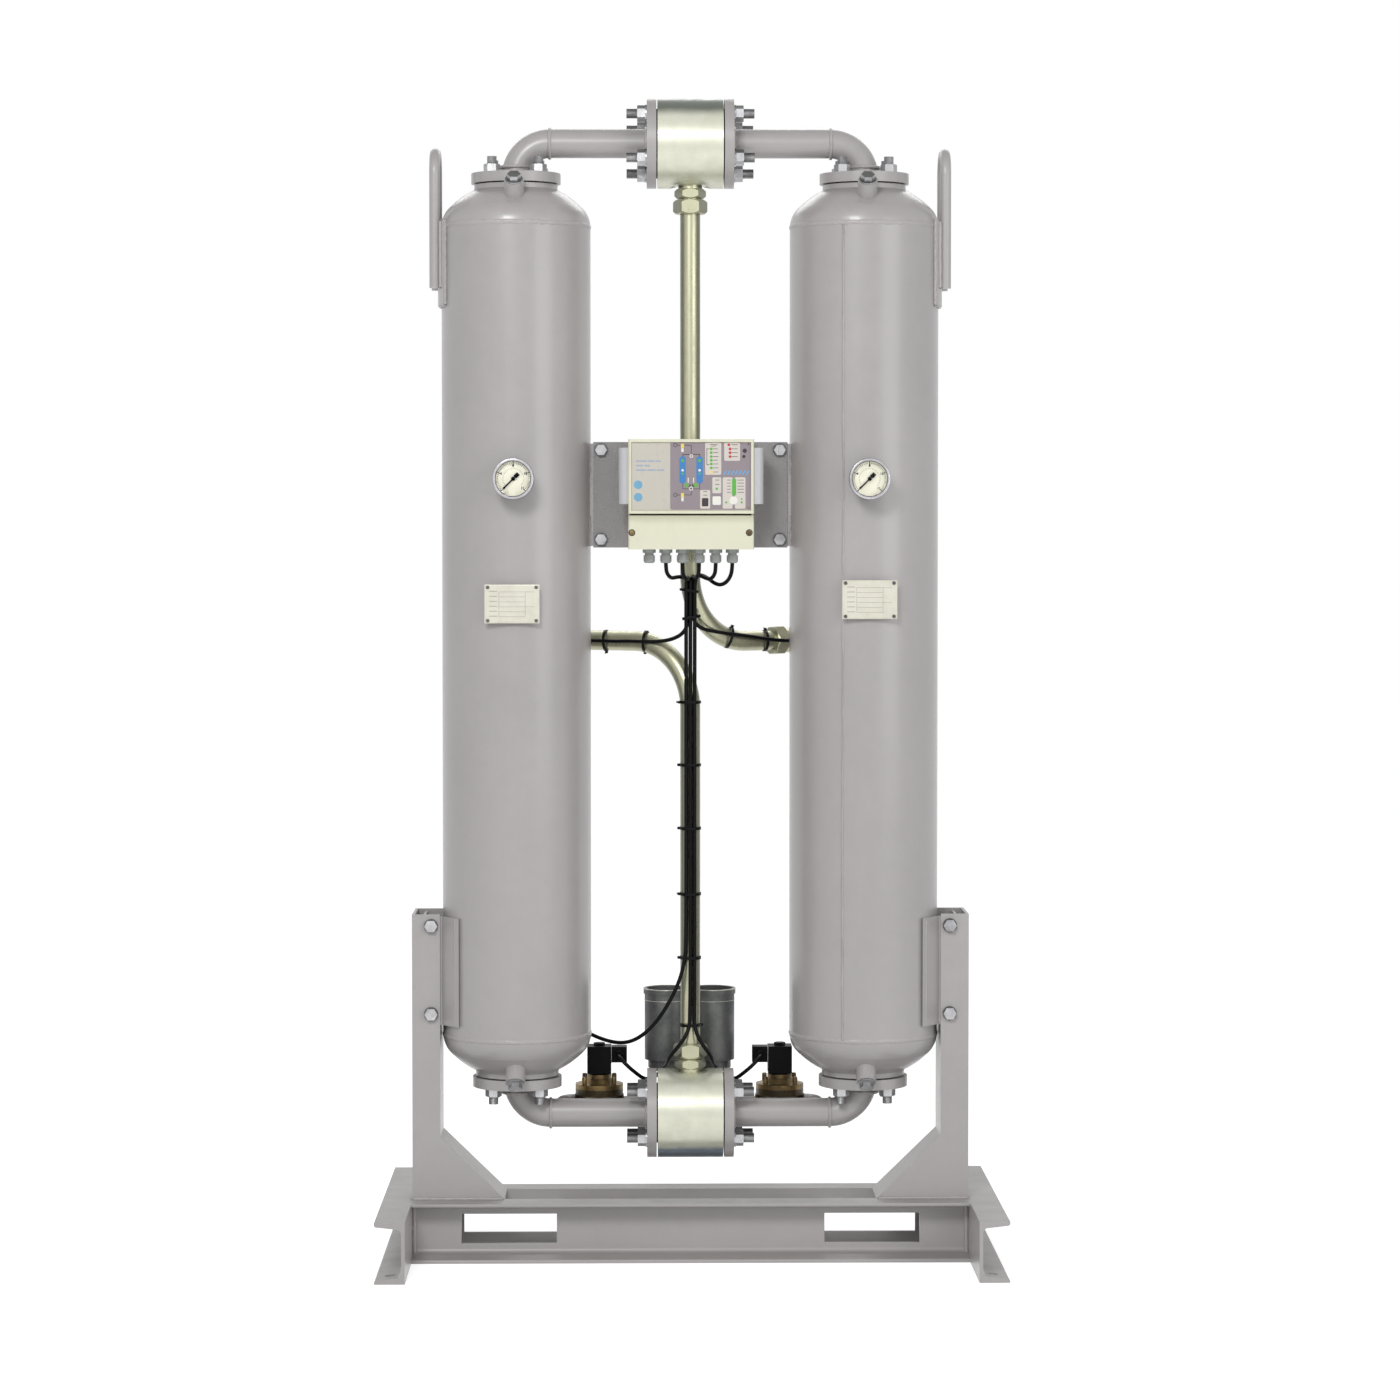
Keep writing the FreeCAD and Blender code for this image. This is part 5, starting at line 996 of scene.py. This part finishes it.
for side in (-1, 1):
    twin = scaleMarks.copy()
    twin.data = scaleMarks.data.copy()
    scene.collection.objects.link(twin)
    twin.location = metres((side * dial["x"], dial["face"], dial["z"]))
    scales.append(settled(twin))
bpy.data.objects.remove(scaleMarks)
dress(scales, "dialScales", pointerBlack)

# Pointers' caps, counterweights and needles, at rest 45 degrees from upright
pointer = {"y": -169.7, "axle": -170, "lean": -45, "cap": 3.4, "capDeep": 1.4, "capY": -170.5}


def blade(side, size, rise, bevel, segments, taper):
    # A bar above or below the axle, narrowed at its lower end.
    bar = slab(size, (side * dial["x"], pointer["y"], dial["z"] + rise), bevel, segments)
    pickFaces(bar, lambda normal: normal.z < -0.9)
    bpy.ops.transform.resize(value=(taper, 1, 1))
    closeMesh()
    openMesh(settled(bar))
    bpy.ops.transform.rotate(
        value=radians(pointer["lean"]), orient_axis="Y",
        center_override=metres((side * dial["x"], pointer["axle"], dial["z"])))
    closeMesh()
    return bar


for side, word in ((-1, "left"), (1, "right")):
    deselectAll()
    bpy.ops.mesh.primitive_cylinder_add(
        vertices=40, radius=pointer["cap"] * mm, depth=pointer["capDeep"] * mm,
        location=metres((side * dial["x"], pointer["capY"], dial["z"])), rotation=frontward)
    cap = insetFaces(bpy.context.object, lambda normal: normal.z > 0.9, 1.2, (0, -0.3, 0))
    parts = [settled(cap), blade(side, (6.4, 0.8, 8.4), 8.0, 0.3, 2, 0.5),
             blade(side, (2.3, 1.0, 20.5), -11.5, 0.2, 1, 0.4)]
    dress(parts, word + "PointerHub", pointerBlack, "pointer_" + word)
# Dark rings round each dial window: painted shadow of the bezel.
dialShadeRings = [ring((side * dial["x"], y, dial["z"]), radius, bead, 72, 8, 0.02, 13)
             for side in (-1, 1)
             for radius, bead, y in ((29.0, 0.55, -176.2), (33.9, 0.5, -173.4))]
dress(dialShadeRings, "dialShadeRings", castGrey)
print("dials printed")

# Camera and light, in metres and degrees
view = {"place": (-0.0847, -6.5, 1.23), "lens": 99.14, "down": 1.955, "right": 0.892,
        "up": -0.03, "sensor": 36, "far": 60}
cameraData = bpy.data.cameras.new("camera")
camera = bpy.data.objects.new("camera", cameraData)
scene.collection.objects.link(camera)
camera.location = view["place"]
camera.rotation_euler = (radians(90 - view["down"]), 0, -radians(view["right"]))
cameraData.sensor_width = view["sensor"]
cameraData.sensor_fit = "HORIZONTAL"
cameraData.lens = view["lens"]
cameraData.shift_y = view["up"]
cameraData.clip_end = view["far"]
scene.camera = camera
scene.view_settings.view_transform = "Standard"

white = (1, 1, 1, 1)
studio = {"ambient": 0.47, "backdrop": 1.0, "floorTone": (0.78, 0.78, 0.78, 1),
          "floorGlow": 0.66, "floorSize": 40, "lamps": (
              ("keyLamp", (-1.1, -4.2, 3.3), (0, 0, 1.0), (1.2, 1.2), 95.0),
              ("fillLamp", (2.8, -3.2, 1.8), (0, 0, 0.9), (2.0, 2.4), 34.0),
              ("rimLamp", (0.0, 2.6, 3.2), (0, 0, 1.0), (3.0, 1.0), 24.0))}


def mixForView(tree, soft, seen):
    # The first shader lights; the second shows to the camera, in metal and in glass.
    path = addNode(tree, "LightPath").outputs
    both = calc(tree, "MAXIMUM", path["Is Camera Ray"], path["Is Glossy Ray"])
    shows = calc(tree, "MAXIMUM", both, path["Is Transmission Ray"])
    return addNode(tree, "MixShader", {0: shows, 1: soft, 2: seen}).outputs[0]


def addLamp(name, place, target, size, power):
    data = bpy.data.lights.new(name, "AREA")
    data.shape = "RECTANGLE"
    data.size, data.size_y = size
    data.energy = power
    lamp = bpy.data.objects.new(name, data)
    scene.collection.objects.link(lamp)
    lamp.location = place
    aim = Vector(target) - Vector(place)
    lamp.rotation_euler = aim.to_track_quat("-Z", "Y").to_euler()


world = bpy.data.worlds.new("studio")
scene.world = world
world.use_nodes = True
sky = world.node_tree
sky.nodes.clear()
soft, seen = [addNode(sky, "Background", {"Color": white, "Strength": studio[key]}).outputs[0]
              for key in ("ambient", "backdrop")]
addNode(sky, "OutputWorld", {"Surface": mixForView(sky, soft, seen)})
for row in studio["lamps"]:
    addLamp(*row)

deselectAll()
bpy.ops.mesh.primitive_plane_add(size=studio["floorSize"], location=(0, 0, 0))
floor = bpy.context.object
floor.name = "studioFloor"
floorPaint = bpy.data.materials.new("floorWhite")
floorPaint.use_nodes = True
tree = floorPaint.node_tree
tree.nodes.clear()
matt = addNode(tree, "BsdfDiffuse", {"Color": studio["floorTone"]}).outputs[0]
glow = addNode(tree, "Emission", {"Color": white, "Strength": studio["floorGlow"]}).outputs[0]
lit = addNode(tree, "AddShader", {0: matt, 1: glow}).outputs[0]
addNode(tree, "OutputMaterial", {"Surface": mixForView(tree, matt, lit)})
floor.data.materials.append(floorPaint)
print("camera, light and floor set")
